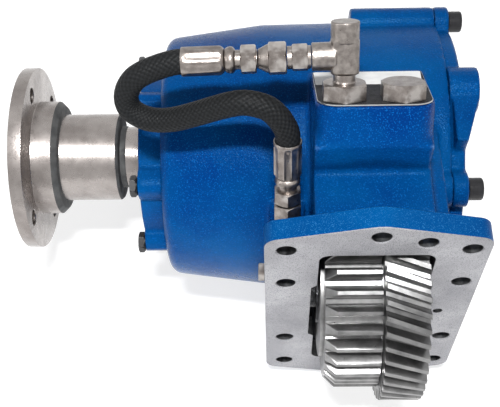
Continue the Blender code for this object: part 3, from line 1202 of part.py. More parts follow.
def hose_end(name, start, direction, side):
    """A nipple and its crimped socket along one line. Returns the hose's seat and its mouth."""
    place = along(start, direction, side)
    hex_left = NIPPLE_START_LENGTH
    hex_right = hex_left + NIPPLE_HEX_LENGTH
    ring_left = hex_right + NIPPLE_NECK_LENGTH
    ring_right = ring_left + NIPPLE_RING_LENGTH
    nipple = piece(f"{name}_nipple", hex_on_x(hex_left, hex_right, NIPPLE_HEX_FLATS), PLATING, UNIT, place)
    neck = cylinder(0, ring_left + 0.001, NIPPLE_NECK_RADIUS)
    fuse(nipple, f"neck_{name}_nipple", neck, nipple)
    ring = turned([
        (ring_left, 0), (ring_left, NIPPLE_RING_RADIUS - 0.002), (ring_left + 0.002, NIPPLE_RING_RADIUS),
        (ring_right - 0.002, NIPPLE_RING_RADIUS), (ring_right, NIPPLE_RING_RADIUS - 0.002), (ring_right, 0),
    ], FITTING_STEPS)
    fuse(nipple, f"ring_{name}_nipple", ring, nipple)
    socket_left = ring_right + GAP
    mouth = socket_left + SOCKET_LENGTH
    seat = mouth - HOSE_SEAT_DEPTH
    socket = turned([
        (socket_left, 0), (socket_left, SOCKET_RADIUS - 0.0015), (socket_left + 0.0015, SOCKET_RADIUS),
        (mouth, SOCKET_RADIUS), (mouth, HOSE_RADIUS + 0.0005), (seat, HOSE_RADIUS + 0.0005), (seat, 0),
    ], SOCKET_SIDES)
    piece(f"{name}_socket", socket, PLATING, UNIT, place)
    return place @ Vector((seat + GAP, 0, 0)), place @ Vector((mouth, 0, 0))


def upper_line():
    first = BRANCH_START + UPPER_LINE * (TEE_BRANCH_LENGTH + GAP)
    place = along(first, UPPER_LINE, (0, 0, 1))
    hex_left = BRANCH_NECK_LENGTH
    hex_right = hex_left + BRANCH_HEX_LENGTH
    end = hex_right + BRANCH_NECK_LENGTH * 1.5
    adapter = piece("branch_adapter", hex_on_x(hex_left, hex_right, BRANCH_HEX_FLATS), PLATING, UNIT, place)
    fuse(adapter, "neck_branch_adapter", cylinder(0, end, BRANCH_NECK_RADIUS), adapter)
    nut_start = first + UPPER_LINE * (end + GAP)
    nipple_start = swivel_nut("upper_swivel_nut", nut_start, UPPER_LINE, (0, 0, 1))
    return hose_end("upper", nipple_start, UPPER_LINE, (0, 0, 1))


def lower_line():
    place = along(LOWER_PORT + LOWER_LINE * GAP, LOWER_LINE)
    hex_left = LOWER_ADAPTER_NECK_LENGTH
    end = hex_left + LOWER_ADAPTER_HEX_LENGTH
    adapter = piece("lower_port_adapter", hex_on_x(hex_left, end, LOWER_ADAPTER_HEX_FLATS), PLATING, UNIT, place)
    stem = turned([
        (-LOWER_PORT_STEM_LENGTH, 0), (-LOWER_PORT_STEM_LENGTH, LOWER_PORT_HOLE_RADIUS - GAP),
        (0, LOWER_PORT_HOLE_RADIUS - GAP), (0, LOWER_ADAPTER_NECK_RADIUS),
        (hex_left + 0.002, LOWER_ADAPTER_NECK_RADIUS), (hex_left + 0.002, 0),
    ], FITTING_STEPS)
    fuse(adapter, "stem_lower_adapter", stem, adapter)
    return hose_end("lower", LOWER_PORT + LOWER_LINE * (end + 2 * GAP), LOWER_LINE, (1, 0, 0))


def smooth_route(points, steps):
    """Points on a Catmull-Rom curve through all but the two end points, which only give it its direction."""
    route = []
    for i in range(1, len(points) - 2):
        before, here, after, beyond = points[i - 1:i + 3]
        for step in range(steps):
            t = step / steps
            route.append(0.5 * (2 * here + (after - before) * t
                                + (2 * before - 5 * here + 4 * after - beyond) * t ** 2
                                + (3 * here - before - 3 * after + beyond) * t ** 3))
    return route + [points[-2]]


def hose():
    upper_seat, upper_mouth = upper_line()
    lower_seat, lower_mouth = lower_line()
    middle = [Vector(point) for point in HOSE_ROUTE]
    upper_out = upper_mouth + (upper_mouth - upper_seat).normalized() * HOSE_STRAIGHT
    lower_out = lower_mouth + (lower_mouth - lower_seat).normalized() * HOSE_STRAIGHT
    points = [upper_seat, upper_out, *middle, lower_out, lower_seat]
    route = [upper_seat, *smooth_route(points, HOSE_SPAN_STEPS), lower_seat]
    mesh = wire(route, HOSE_RADIUS, 2)
    piece("hose", mesh, RUBBER, UNIT)


def gallery_plug():
    place = along((PAD_LEFT_X - GAP, GALLERY_PLUG_Y, GALLERY_PLUG_Z), (-1, 0, 0), (0, 0, 1))
    plug = piece("gallery_plug", hex_on_x(0, GALLERY_PLUG_HEAD, GALLERY_PLUG_FLATS), PLATING, UNIT, place)
    stem = cylinder(-GALLERY_PLUG_STEM_LENGTH, 0.002, GALLERY_PLUG_STEM_RADIUS, BOLT_STEPS)
    fuse(plug, "stem_gallery_plug", stem, plug)


housing()
front_cap()
rear_cover()
input_gears()
output_shaft()
companion_flange()
clutch_gear()
clutch_drum(clutch_pack())
return_spring()
label_plate()
port_fittings()
tee_fitting()
hose()
gallery_plug()
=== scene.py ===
"""The power take off unit dressed for its picture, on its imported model. Lengths are in metres.

The origin is the centre of the gearbox opening on the mounting face, +X runs along the shafts, +Y goes
into the unit and +Z is up. Angles about a shaft start toward +Y and turn toward +Z.
"""

import json
from math import acos, cos, hypot, pi, radians, sin, tan

import bmesh
import bpy
from mathutils import Matrix, Vector

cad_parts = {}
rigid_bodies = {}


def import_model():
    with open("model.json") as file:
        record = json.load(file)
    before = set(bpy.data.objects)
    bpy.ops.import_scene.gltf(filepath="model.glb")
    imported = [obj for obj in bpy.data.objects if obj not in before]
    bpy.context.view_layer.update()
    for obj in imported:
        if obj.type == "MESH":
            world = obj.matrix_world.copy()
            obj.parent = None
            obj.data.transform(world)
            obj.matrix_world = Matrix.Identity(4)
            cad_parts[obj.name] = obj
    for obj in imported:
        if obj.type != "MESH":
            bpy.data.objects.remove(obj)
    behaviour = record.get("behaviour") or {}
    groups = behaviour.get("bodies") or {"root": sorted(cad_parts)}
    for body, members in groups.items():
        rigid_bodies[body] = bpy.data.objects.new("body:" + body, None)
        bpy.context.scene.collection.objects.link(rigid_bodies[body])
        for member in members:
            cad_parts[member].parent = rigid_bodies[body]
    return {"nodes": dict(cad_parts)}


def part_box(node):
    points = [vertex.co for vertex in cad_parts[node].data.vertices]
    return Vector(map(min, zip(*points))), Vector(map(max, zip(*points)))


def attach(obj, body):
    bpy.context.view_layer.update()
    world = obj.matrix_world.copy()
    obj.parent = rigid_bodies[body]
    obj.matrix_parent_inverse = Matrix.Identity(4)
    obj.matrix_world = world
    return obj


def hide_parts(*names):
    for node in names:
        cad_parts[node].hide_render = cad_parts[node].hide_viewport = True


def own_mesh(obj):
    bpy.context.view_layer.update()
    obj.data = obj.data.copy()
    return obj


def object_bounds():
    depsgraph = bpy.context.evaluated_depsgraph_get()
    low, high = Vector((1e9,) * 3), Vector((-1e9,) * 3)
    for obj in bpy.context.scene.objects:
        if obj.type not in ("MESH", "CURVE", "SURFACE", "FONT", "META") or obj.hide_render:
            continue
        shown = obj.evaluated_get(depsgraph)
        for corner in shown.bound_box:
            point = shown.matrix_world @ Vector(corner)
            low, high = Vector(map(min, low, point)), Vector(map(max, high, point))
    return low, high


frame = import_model()
CAD_BOX = [list(corner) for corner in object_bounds()]

# Camera
CAMERA_PLACE = Vector((-0.0755, -0.3099, 0.6816))
CAMERA_AZIMUTH = radians(2.178)
CAMERA_ELEVATION = radians(59.085)
CAMERA_ROLL = radians(-2.512)
CAMERA_LENS = 69.1

# Gap between solids that meet, and how far a cutter reaches past a face or right through a piece
GAP = 0.0003
CUT_PAST = 0.005
CUT_THROUGH = 0.1
FLARE_PAST = 0.004

# Shaft axes
INPUT_AXIS_Y = 0.0192
OUTPUT_AXIS_Y = 0.146025

# Mounting pad
PAD_LEFT_X = -0.0788
PAD_RIGHT_X = 0.0767
PAD_CORNER_HEIGHT = 0.113
PAD_PEAK_HEIGHT = 0.132
PAD_THICKNESS = 0.016
PAD_CORNER_RADIUS = 0.011
PAD_PEAK_RADIUS = 0.030
PAD_SKIN = 0.0003
PAD_EDGE = 0.0006
BOLT_COLUMN_X = 0.0637
BOLT_ROW_HEIGHTS = (0.0497, 0.0995)
BOLT_PEAK_HEIGHT = 0.1172
BOLT_EXTRA = (0.0323, 0.109)
BOLT_HOLE_RADIUS = 0.0070
BOLT_HOLE_CHAMFER = 0.0005
OPENING_LEFT_X = -0.0408
OPENING_RIGHT_X = 0.0405
OPENING_HALF_HEIGHT = 0.0925
OPENING_CORNER_RADIUS = 0.008
BULGE = 0.0042
BULGE_HALF_HEIGHT = 0.042
BULGE_RADIUS = 0.0015
LOCK_PIN_X = 0.0539
LOCK_PIN_RADIUS = 0.0034
SHAFT_BORE_RADIUS = 0.0143
SHAFT_BORE_START = 0.02
SHAFT_BORE_END = 0.10

# Side walls nearer the pad's middle than these are walls of holes, as (half width, half height)
HOLE_WALL_REACH = ((0.0738, 0.1085), (0.008, 0.125))

# Castings: size of a cell of the remesh, how often it is smoothed, and what share of its faces stays
HOUSING_CELL = 0.0018
HOUSING_EASE = 5
HOUSING_CUT_Y = 0.0145
HOUSING_SHARE = 0.62
CAP_CELL = 0.0011
COVER_CELL = 0.0013
CAST_EASE = 4
CAST_STEPS = 180

# Gears
TOOTH_MODULE = 0.00445
PRESSURE_ANGLE = radians(20)
SPUR_TEETH = 32
SPUR_LEFT_X = -0.0355
SPUR_RIGHT_X = 0.0053
SPUR_END_BEVEL = 0.008
SPUR_PITCH_RADIUS = TOOTH_MODULE * SPUR_TEETH / 2
FLANK_STEPS = 7
TOOTH_THINNING = 0.00035
HUB_LEFT_X = -0.0385
HUB_RADIUS = 0.052
HELICAL_TEETH = 46
HELICAL_TIP_RADIUS = 0.0857
HELICAL_TOOTH_DEPTH = 0.0080
HELICAL_LEFT_X = 0.0062
HELICAL_RIGHT_X = 0.0377
HELIX_ANGLE = radians(19.5)
HELICAL_FIRST_TOOTH = radians(-3.0)
HELICAL_STEPS = 14
COLLAR_RADIUS = 0.0655
GEAR_OVERLAP = 0.001
GEAR_LIP = 0.0006
GEAR_BORE_RADIUS = 0.0178
TOOTH_EDGE = 0.0004

# Companion flange
FLANGE_RADIUS = 0.0762
FLANGE_LEFT_X = -0.2789
FLANGE_THICKNESS = 0.0107
FLANGE_HOLE_CIRCLE = 0.0613
FLANGE_HOLE_RADIUS = 0.0064
FLANGE_HOLE_LIP = 0.0006
FLANGE_HOLE_ANGLES = tuple(radians(angle) for angle in (-3.5, 68.5, 176.5, 254))
PILOT_RADIUS = 0.0476
PILOT_DEPTH = 0.002
BOSS_RADIUS = 0.0478
BOSS_CHAMFER = 0.0045
BOSS_RIGHT_X = -0.2472
BARREL_RADIUS = 0.0366
BARREL_RIGHT_X = -0.1989
# A thin ring on the journal beside the barrel; its dark finish is a painted shadow.
SHADOW_RING_RIGHT_X = BARREL_RIGHT_X + 0.0045
BARREL_CHAMFER = 0.002
JOURNAL_RADIUS = 0.0254
# Radius of that thin ring, which carries a painted shadow.
SHADOW_RING_RADIUS = JOURNAL_RADIUS + 0.0006
JOURNAL_RIGHT_X = -0.160
FLANGE_BORE_RADIUS = 0.0188
NUT_RECESS_RADIUS = 0.030
NUT_RECESS_DEPTH = 0.016
NUT_WASHER_THICKNESS = 0.003
NUT_WASHER_RADIUS = 0.026
FLANGE_NUT_FLATS = 0.036
FLANGE_NUT_HEIGHT = 0.010
SHAFT_THREAD_RADIUS = 0.014

# Front cap bolts and rear cover screws
CAP_LEFT_X = -0.1775
CAP_RIGHT_X = -0.1583
CAP_BODY_RADIUS = 0.071
CAP_BOLT_CIRCLE = 0.076
CAP_BOLT_COUNT = 7
CAP_BOLT_FIRST_ANGLE = radians(141.5)
CAP_BOLT_FLATS = 0.0150
CAP_BOLT_HEAD = 0.0055
CAP_BOLT_WASHER = 0.0009
CAP_BOLT_WASHER_SHARE = 0.97
CAP_BOLT_SUNK = 0.0006
HEX_CORNER_REACH = 1.150
HEX_FACE_SHARE = 0.965
HEX_CHAMFER_SLOPE = tan(radians(28))
COVER_RIGHT_X = 0.0712
COVER_LEFT_X = 0.0598
COVER_RADIUS = 0.1056
COVER_SCREW_CIRCLE = 0.1100
COVER_SCREW_ANGLES = tuple(radians(angle) for angle in (3, 48, 138, 228, 273, 318))
COVER_SCREW_RADIUS = 0.0085
COVER_SCREW_HEAD = 0.0112
SOCKET_FLATS = 0.010
SOCKET_DEPTH = 0.006
KNURLS = 32
KNURL_DEPTH = 0.00018
REAR_PLUG_RADIUS = 0.030
REAR_PLUG_HEAD = 0.005
DISH_DEPTH = 0.002
DISH_RADIUS = 0.021

# Outside of the drum, as (x, radius), and the cavity behind the pad
DRUM_PROFILE = ((-0.158, 0.100), (-0.080, 0.109), (0.0595, 0.1106))
DRUM_CORNER_RADIUS = 0.010
DRUM_CORNER_STEPS = 8
DRUM_WALL = 0.008
SHELL = 0.005
CAVITY_HALF_WIDTH = 0.0405
CAVITY_HALF_HEIGHT = 0.0905
CAVITY_BACK_Y = 0.086

# Faces within these limits are the hollows': the drum from x to x, the others as (half x, y, half z)
DRUM_HOLLOW = (-0.1470, 0.0592)
NECK_HOLLOW = (0.0412, 0.10, 0.0912)
OPENING_HOLLOW = (0.0470, 0.0210, 0.0945)

# Small plug in the pad's left edge
GALLERY_PLUG_FLATS = 0.0126
GALLERY_PLUG_HEAD = 0.0045

# Slanted port block and its plate
BLOCK_EDGE_Y = 0.072
BLOCK_EDGE_Z = 0.1663
BLOCK_TILT = radians(37.3)
BLOCK_LEFT_X = -0.0435
BLOCK_RIGHT_X = 0.0375
BLOCK_FAR_RIGHT_X = 0.0415
BLOCK_LENGTH = 0.093
BLOCK_CORNER_RADIUS = 0.016
PLATE_MARGIN = 0.0015
PLATE_THICKNESS = 0.0010
PLATE_HOLE_RADIUS = 0.0118
PLATE_RIM = 0.0004
LABEL_START = 0.054
LABEL_CORNER_RADIUS = 0.0012
PLATE_TAIL_RADIUS = 0.002
ENAMEL_SKIN = 0.0003

# Fittings on the block
LEFT_PORT = (-0.0235, 0.018)
RIGHT_PORT = (0.0165, 0.018)
PORT_HEX_FLATS = 0.0288
PORT_HEX_HEIGHT = 0.0112
ADAPTER_NECK_RADIUS = 0.0075
ADAPTER_NECK_HEIGHT = 0.0058
TEE_BODY_WIDTH = 0.0155
TEE_BODY_HEIGHT = 0.0236
TEE_RUN_RADIUS = 0.0096
TEE_RUN_HEIGHT = 0.0115
TEE_BRANCH_RADIUS = 0.0095
TEE_BRANCH_LENGTH = 0.0222
TEE_CELL = 0.00045
TEE_EASE = 3
TEE_CORNER_RADIUS = 0.0045
TEE_BODY_EDGE = 0.0008

# Hose and its ends
HOSE_RADIUS = 0.0087
BRAID_PITCH = 0.0039
BRAID_AROUND = 15 * 0.00365
HOSE_SEAT_DEPTH = 0.006
HOSE_STRAIGHT = 0.003
UPPER_LINE_DROP = 0.038
BRANCH_HEX_FLATS = 0.0168
BRANCH_HEX_LENGTH = 0.0107
BRANCH_NECK_RADIUS = 0.0078
BRANCH_NECK_LENGTH = 0.0022
NUT_FLATS = 0.0205
NUT_LENGTH = 0.0122
NUT_CONE_LENGTH = 0.0070
NIPPLE_NECK_RADIUS = 0.0066
NIPPLE_HEX_FLATS = 0.0182
NIPPLE_HEX_LENGTH = 0.0105
NIPPLE_RING_RADIUS = 0.0092
NIPPLE_RING_LENGTH = 0.0073
NIPPLE_NECK_LENGTH = 0.0035
NIPPLE_START = 0.0008
SOCKET_RADIUS = 0.0100
SOCKET_LENGTH = 0.0290
LOWER_PORT = Vector((-0.062, 0.0365, 0.0718))
LOWER_LINE_TILT = radians(23)
LOWER_HEX_FLATS = 0.0190
LOWER_HEX_LENGTH = 0.0150
LOWER_NECK_RADIUS = 0.0085
LOWER_NECK_LENGTH = 0.0058
HOSE_ROUTE = (
    (-0.1505, 0.1040, 0.1712), (-0.1660, 0.1020, 0.1625), (-0.1738, 0.0985, 0.1490),
    (-0.1715, 0.0935, 0.1378), (-0.1580, 0.0885, 0.1330), (-0.1385, 0.0845, 0.1388),
    (-0.1105, 0.0805, 0.1560), (-0.0915, 0.0775, 0.1655), (-0.0745, 0.0745, 0.1620),
    (-0.0645, 0.0695, 0.1500),
)
HOSE_SPAN_STEPS = 2
HOSE_POINT_STEPS = 8
HOSE_SIDES = 40

# Lamps look at this point, and the floor lies under the unit
LAMP_TARGET = Vector((-0.09, 0.09, 0.03))
FLOOR_DROP = 0.002
FLOOR_THICKNESS = 0.020
FLOOR_REACH = 4


# Placing

def frame_from(axes, point):
    """A placing matrix whose local X, Y and Z are the given directions."""
    matrix = Matrix([Vector(axis).normalized() for axis in axes]).transposed().to_4x4()
    matrix.translation = point
    return matrix


def along(point, direction, side=(1, 0, 0)):
    """A placing matrix whose local X runs along the direction."""
    forward = Vector(direction).normalized()
    across = (Vector(side) - forward * forward.dot(Vector(side))).normalized()
    return frame_from((forward, across, forward.cross(across)), point)


def moved(x, y=0, z=0):
    return Matrix.Translation((x, y, z))


def about_shaft(radius, angle, x=0):
    """A move to a place on a circle about the X axis."""
    return moved(x, radius * cos(angle), radius * sin(angle))


HERE = Matrix.Identity(4)
UP = Vector((0, 0, 1))
UPRIGHT = along((0, 0, 0), UP)
INPUT_AXIS = moved(0, INPUT_AXIS_Y)
OUTPUT_AXIS = moved(0, OUTPUT_AXIS_Y)
FACE_FRAME = frame_from(((1, 0, 0), (0, 0, 1), (0, -1, 0)), (0, 0, 0))
BLOCK_OUT = Vector((0, sin(BLOCK_TILT), cos(BLOCK_TILT)))
BLOCK_ALONG = Vector((0, cos(BLOCK_TILT), -sin(BLOCK_TILT)))
BLOCK_FRAME = frame_from(((1, 0, 0), BLOCK_ALONG, BLOCK_OUT), (0, BLOCK_EDGE_Y, BLOCK_EDGE_Z))
PORT_SEAT = GAP + PLATE_THICKNESS + GAP
TEE_SEAT = PORT_SEAT + PORT_HEX_HEIGHT + ADAPTER_NECK_HEIGHT + GAP
BRANCH_START = BLOCK_FRAME @ Vector((*LEFT_PORT, TEE_SEAT + TEE_BODY_HEIGHT / 2))
UPPER_LINE = Vector((-1, 0, -UPPER_LINE_DROP)).normalized()
LOWER_LINE = Vector((0, sin(LOWER_LINE_TILT), cos(LOWER_LINE_TILT)))


def on_block(port, lift):
    return BLOCK_FRAME @ moved(*port, lift)


# Camera

def show(name, data):
    """A new object in the scene."""
    made = bpy.data.objects.new(name, data)
    bpy.context.scene.collection.objects.link(made)
    return made


def add_camera():
    back = Vector((sin(CAMERA_AZIMUTH) * cos(CAMERA_ELEVATION),
                   -cos(CAMERA_AZIMUTH) * cos(CAMERA_ELEVATION), sin(CAMERA_ELEVATION)))
    right = (-back).cross(UP).normalized()
    up = right.cross(-back)
    cosine = cos(CAMERA_ROLL)
    sine = sin(CAMERA_ROLL)
    data = bpy.data.cameras.new("camera")
    data.lens = CAMERA_LENS
    data.clip_start = 0.01
    camera = show("camera", data)
    axes = (cosine * right + sine * up, cosine * up - sine * right, back)
    camera.matrix_world = frame_from(axes, CAMERA_PLACE)
    bpy.context.scene.camera = camera


add_camera()


# Meshes

WORKSHOP = bpy.data.scenes.new("workshop")
ARC_STEPS = 10


def facing_out(mesh):
    work = bmesh.new()
    work.from_mesh(mesh)
    bmesh.ops.recalc_face_normals(work, faces=work.faces)
    work.to_mesh(mesh)
    work.free()
    return mesh


def finished(obj):
    """The object's evaluated mesh. The object itself is removed."""
    WORKSHOP.collection.objects.link(obj)
    layer = WORKSHOP.view_layers[0]
    layer.update()
    mesh = bpy.data.meshes.new_from_object(obj.evaluated_get(layer.depsgraph))
    bpy.data.objects.remove(obj, do_unlink=True)
    return mesh


def ring(x, radius, steps):
    """One ring of points about X. The place and the radius may be functions of the angle."""
    points = []
    for i in range(steps):
        angle = 2 * pi * i / steps
        reach = radius(angle) if callable(radius) else radius
        here = x(angle) if callable(x) else x
        points.append((here, reach * cos(angle), reach * sin(angle)))
    return points


def loft(rings, closed=False):
    """Rings of equally many points joined by quads. The ends are capped, or joined if closed."""
    count = len(rings[0])
    points = [tuple(point) for one in rings for point in one]
    faces = []
    for i in range(len(rings) if closed else len(rings) - 1):
        here = i * count
        beyond = (i + 1) % len(rings) * count
        for k in range(count):
            after = (k + 1) % count
            faces.append((here + k, here + after, beyond + after, beyond + k))
    if not closed:
        faces.append(tuple(range(count)))
        faces.append(tuple(range(len(points) - count, len(points))))
    mesh = bpy.data.meshes.new("loft")
    mesh.from_pydata(points, [], faces)
    return facing_out(mesh)


def eased(profile, size, closed):
    """The profile with its corners rounded over the given length."""
    points = []
    count = len(profile)
    for i, here in enumerate(profile):
        here = Vector(here)
        if size == 0 or (not closed and i in (0, count - 1)):
            points.append(here)
            continue
        before = Vector(profile[i - 1]) - here
        after = Vector(profile[(i + 1) % count]) - here
        if before.angle(-after, 0) < radians(12):
            points.append(here)
            continue
        first = before.normalized() * min(size, before.length * 0.45)
        last = after.normalized() * min(size, after.length * 0.45)
        for t in (0, 0.33, 0.67, 1):
            points.append(here + first * (1 - t) ** 2 + last * t ** 2)
    return points


def lathe(profile, steps=96, ease=0.0005):
    """A mesh turned about X from (x, radius) points: solid if they start on the axis, else a ring."""
    solid = profile[0][1] == 0
    points = eased(profile, ease, not solid)
    rings = [ring(x, radius, steps) for x, radius in points if radius > 0]
    return loft(rings, closed=not solid)


def rod(low, high, radius, steps=64, ease=0.0005):
    """A round bar along X."""
    return lathe([(low, 0), (low, radius), (high, radius), (high, 0)], steps, ease)


def square_ring(low, high, inner, outer, steps=96, ease=0.0004):
    """A ring about X with a square section."""
    return lathe([(low, inner), (low, outer), (high, outer), (high, inner)], steps, ease)


def turned(profile, steps=96):
    """A solid through rings about X, as (x, radius) pairs. Either may be a function of the angle."""
    return loft([ring(x, radius, steps) for x, radius in profile])


def rounded(corners):
    """A closed outline through (u, v, radius) corners, each rounded by an arc of that radius."""
    outline = []
    for i, (u, v, radius) in enumerate(corners):
        here = Vector((u, v))
        if radius == 0:
            outline.append(here)
            continue
        before = (Vector(corners[i - 1][:2]) - here).normalized()
        after = (Vector(corners[(i + 1) % len(corners)][:2]) - here).normalized()
        half = before.angle(after) / 2
        centre = here + (before + after).normalized() * radius / sin(half)
        start = here + before * radius / tan(half) - centre
        end = here + after * radius / tan(half) - centre
        turn = start.angle_signed(end)
        for step in range(ARC_STEPS + 1):
            outline.append(centre + Matrix.Rotation(-turn * step / ARC_STEPS, 2) @ start)
    return outline


def grown(outline, distance):
    """The outline moved out by a distance. It runs anticlockwise."""
    wider = []
    count = len(outline)
    for i, here in enumerate(outline):
        way = (outline[(i + 1) % count] - outline[i - 1]).normalized()
        wider.append(here + Vector((way.y, -way.x)) * distance)
    return wider


def prism(outline, low, high, edge=0):
    """An outline in local XY swept from low to high along local Z, with its ends' edges broken."""
    area = sum(a.x * b.y - b.x * a.y for a, b in zip(outline, outline[1:] + outline[:1]))
    if area < 0:
        outline = outline[::-1]
    levels = [(low, 0), (high, 0)]
    if edge > 0:
        levels = [(low, -edge), (low + edge, 0), (high - edge, 0), (high, -edge)]
    return loft([[(u, v, z) for u, v in grown(outline, out)] for z, out in levels])


def plain_object(mesh):
    return bpy.data.objects.new("work", mesh)


def carved(mesh, cutters):
    """The mesh with all the cutters, as (mesh, place) pairs, taken out of it."""
    target = plain_object(mesh)
    holder = bpy.data.collections.new("cutters")
    WORKSHOP.collection.children.link(holder)
    for cutter, place in cutters:
        made = plain_object(cutter)
        made.matrix_world = place
        holder.objects.link(made)
    modifier = target.modifiers.new("carve", "BOOLEAN")
    modifier.operation = "DIFFERENCE"
    modifier.solver = "EXACT"
    modifier.operand_type = "COLLECTION"
    modifier.collection = holder
    result = finished(target)
    for made in list(holder.objects):
        bpy.data.objects.remove(made, do_unlink=True)
    bpy.data.collections.remove(holder)
    return result


def cast(mesh, cell, ease):
    """A closed mesh remeshed in small cells and smoothed, which gives it a casting's fillets."""
    target = plain_object(mesh)
    remesh = target.modifiers.new("cells", "REMESH")
    remesh.mode = "VOXEL"
    remesh.voxel_size = cell
    smooth = target.modifiers.new("ease", "SMOOTH")
    smooth.factor = 0.5
    smooth.iterations = ease
    return finished(target)


def joined(parts):
    """One mesh of several (mesh, place) pairs, which may overlap."""
    work = bmesh.new()
    for mesh, place in parts:
        mesh.transform(place)
        work.from_mesh(mesh)
    result = bpy.data.meshes.new("joined")
    work.to_mesh(result)
    work.free()
    return result


# Materials

def node(tree, kind, inputs=None, **settings):
    """Adds a shader node. An input that is given a socket is linked to it."""
    made = tree.nodes.new("ShaderNode" + kind)
    for name, value in settings.items():
        setattr(made, name, value)
    for name, value in (inputs or {}).items():
        if isinstance(value, bpy.types.NodeSocket):
            tree.links.new(value, made.inputs[name])
        else:
            made.inputs[name].default_value = value
    return made


def noise(tree, place, scale, detail=2.0, rough=0.5):
    return node(tree, "TexNoise", {
        "Vector": place, "Scale": scale, "Detail": detail, "Roughness": rough}).outputs[0]


def mapped(tree, value, from_range, to_range=(0.0, 1.0)):
    return node(tree, "MapRange", {
        "Value": value, "From Min": from_range[0], "From Max": from_range[1],
        "To Min": to_range[0], "To Max": to_range[1]}).outputs[0]


def maths(tree, operation, first, second=0.0):
    return node(tree, "Math", {0: first, 1: second}, operation=operation).outputs[0]


def blended(tree, factor, first, second):
    return node(tree, "Mix", {0: factor, 6: first, 7: second}, data_type="RGBA").outputs[2]


def rgba(color):
    return (*color, 1.0)


def new_finish(name):
    """A new material, its node tree and its shader."""
    made = bpy.data.materials.new(name)
    made.use_nodes = True
    return made, made.node_tree, made.node_tree.nodes["Principled BSDF"]


def add_bump(tree, shader, layers):
    """Bumps as high as the sum of the layers, in metres."""
    height = layers[0]
    for layer in layers[1:]:
        height = maths(tree, "ADD", height, layer)
    bump = node(tree, "Bump", {"Strength": 1.0, "Distance": 1.0, "Height": height})
    tree.links.new(bump.outputs[0], shader.inputs["Normal"])


def turning_marks(tree, place, spacing, height):
    """Fine grooves that circle the X axis, on faces and on round sides."""
    x, y, z = node(tree, "SeparateXYZ", {0: place}).outputs
    squares = maths(tree, "ADD", maths(tree, "MULTIPLY", y, y), maths(tree, "MULTIPLY", z, z))
    way = maths(tree, "ADD", maths(tree, "SQRT", squares), x)
    wave = maths(tree, "SINE", maths(tree, "MULTIPLY", way, 2 * pi / spacing))
    return maths(tree, "MULTIPLY", wave, height)


def surface(name, dark, light, roughness, metallic, blotch, bumps, edge=None, marks=None, speck=None,
            gloss=0.5, tint=(1, 1, 1)):
    """A finish whose colour and roughness vary over the surface, in blotches of the given scale.

    bumps are (scale, height) pairs, edge is (colour, strength) for a painted highlight on outer edges,
    marks is (spacing, height) for a lathe's marks, and speck is (colour, scale, share) for small spots,
    which on the blue paints are painted glints.
    """
    made, tree, shader = new_finish(name)
    place = node(tree, "TexCoord").outputs["Object"]
    patches = noise(tree, place, blotch, 4.0, 0.6)
    color = blended(tree, mapped(tree, patches, (0.35, 0.65)), rgba(dark), rgba(light))
    # Small spots of the speck colour; on the blue paints these are painted glints.
    if speck:
        spots = mapped(tree, noise(tree, place, speck[1], 1.0), (1 - speck[2], 1.02 - speck[2]))
        color = blended(tree, spots, color, rgba(speck[0]))
    if edge:
        # Painted highlight: faces on sharp outer edges, found by their pointiness, take the lighter edge
        # colour.
        pointed = node(tree, "NewGeometry").outputs["Pointiness"]
        painted_edge_highlight = maths(tree, "MULTIPLY", mapped(tree, pointed, (0.54, 0.62), (0.0, edge[1])),
                     mapped(tree, noise(tree, place, 90.0, 3.0), (0.45, 0.6)))
        color = blended(tree, painted_edge_highlight, color, rgba(edge[0]))
    tree.links.new(color, shader.inputs["Base Color"])
    smears = noise(tree, place, blotch * 3, 5.0, 0.65)
    tree.links.new(mapped(tree, smears, (0.3, 0.7), roughness), shader.inputs["Roughness"])
    shader.inputs["Metallic"].default_value = metallic
    shader.inputs["Specular IOR Level"].default_value = gloss
    shader.inputs["Specular Tint"].default_value = rgba(tint)
    layers = [maths(tree, "MULTIPLY", noise(tree, place, scale, 1.5), height) for scale, height in bumps]
    if marks:
        layers.append(turning_marks(tree, place, *marks))
    add_bump(tree, shader, layers)
    return made


def braid_material():
    """Black woven cover: waves around and along the hose, from its own UV map in metres."""
    made, tree, shader = new_finish("braid")
    spread = node(tree, "UVMap", uv_map="along").outputs[0]
    around, lengthwise = node(tree, "SeparateXYZ", {0: spread}).outputs[:2]
    waves = [maths(tree, "SINE", maths(tree, "MULTIPLY", way, 2 * pi / BRAID_PITCH))
             for way in (around, lengthwise)]
    weave = maths(tree, "MULTIPLY", *waves)
    lint = noise(tree, node(tree, "TexCoord").outputs["Object"], 900.0, 3.0)
    shade = maths(tree, "ADD", mapped(tree, weave, (-1, 1), (0.0, 0.8)), maths(tree, "MULTIPLY", lint, 0.4))
    color = blended(tree, shade, rgba((0.0002, 0.0002, 0.0003)), rgba((0.0085, 0.0095, 0.0105)))
    tree.links.new(color, shader.inputs["Base Color"])
    tree.links.new(mapped(tree, lint, (0.3, 0.7), (0.50, 0.70)), shader.inputs["Roughness"])
    shader.inputs["Specular IOR Level"].default_value = 0.15
    add_bump(tree, shader, [maths(tree, "MULTIPLY", weave, 0.00026), maths(tree, "MULTIPLY", lint, 0.0001)])
    return made


PAINT_TINT = (0.2, 0.6, 1)
# Plated parts: their near-white edge colour is a painted highlight on sharp outer edges.
PLATING_EDGE_HIGHLIGHT = ((0.8, 0.77, 0.74), 0.8)
# Blue paint: its lighter edge colour is a painted highlight on outer edges, and its lighter specks are
# painted glints.
PAINT = surface(
    "blue_paint", (0.0003, 0.02, 0.112), (0.0003, 0.05, 0.168), (0.2, 0.32), 0, 8,
    ((750, 0.00042), (1700, 0.0001), (60, 0.0003)), edge=((0.16, 0.3, 0.52), 0.6),
    speck=((0.002, 0.066, 0.24), 1000, 0.38), gloss=0.08, tint=PAINT_TINT)
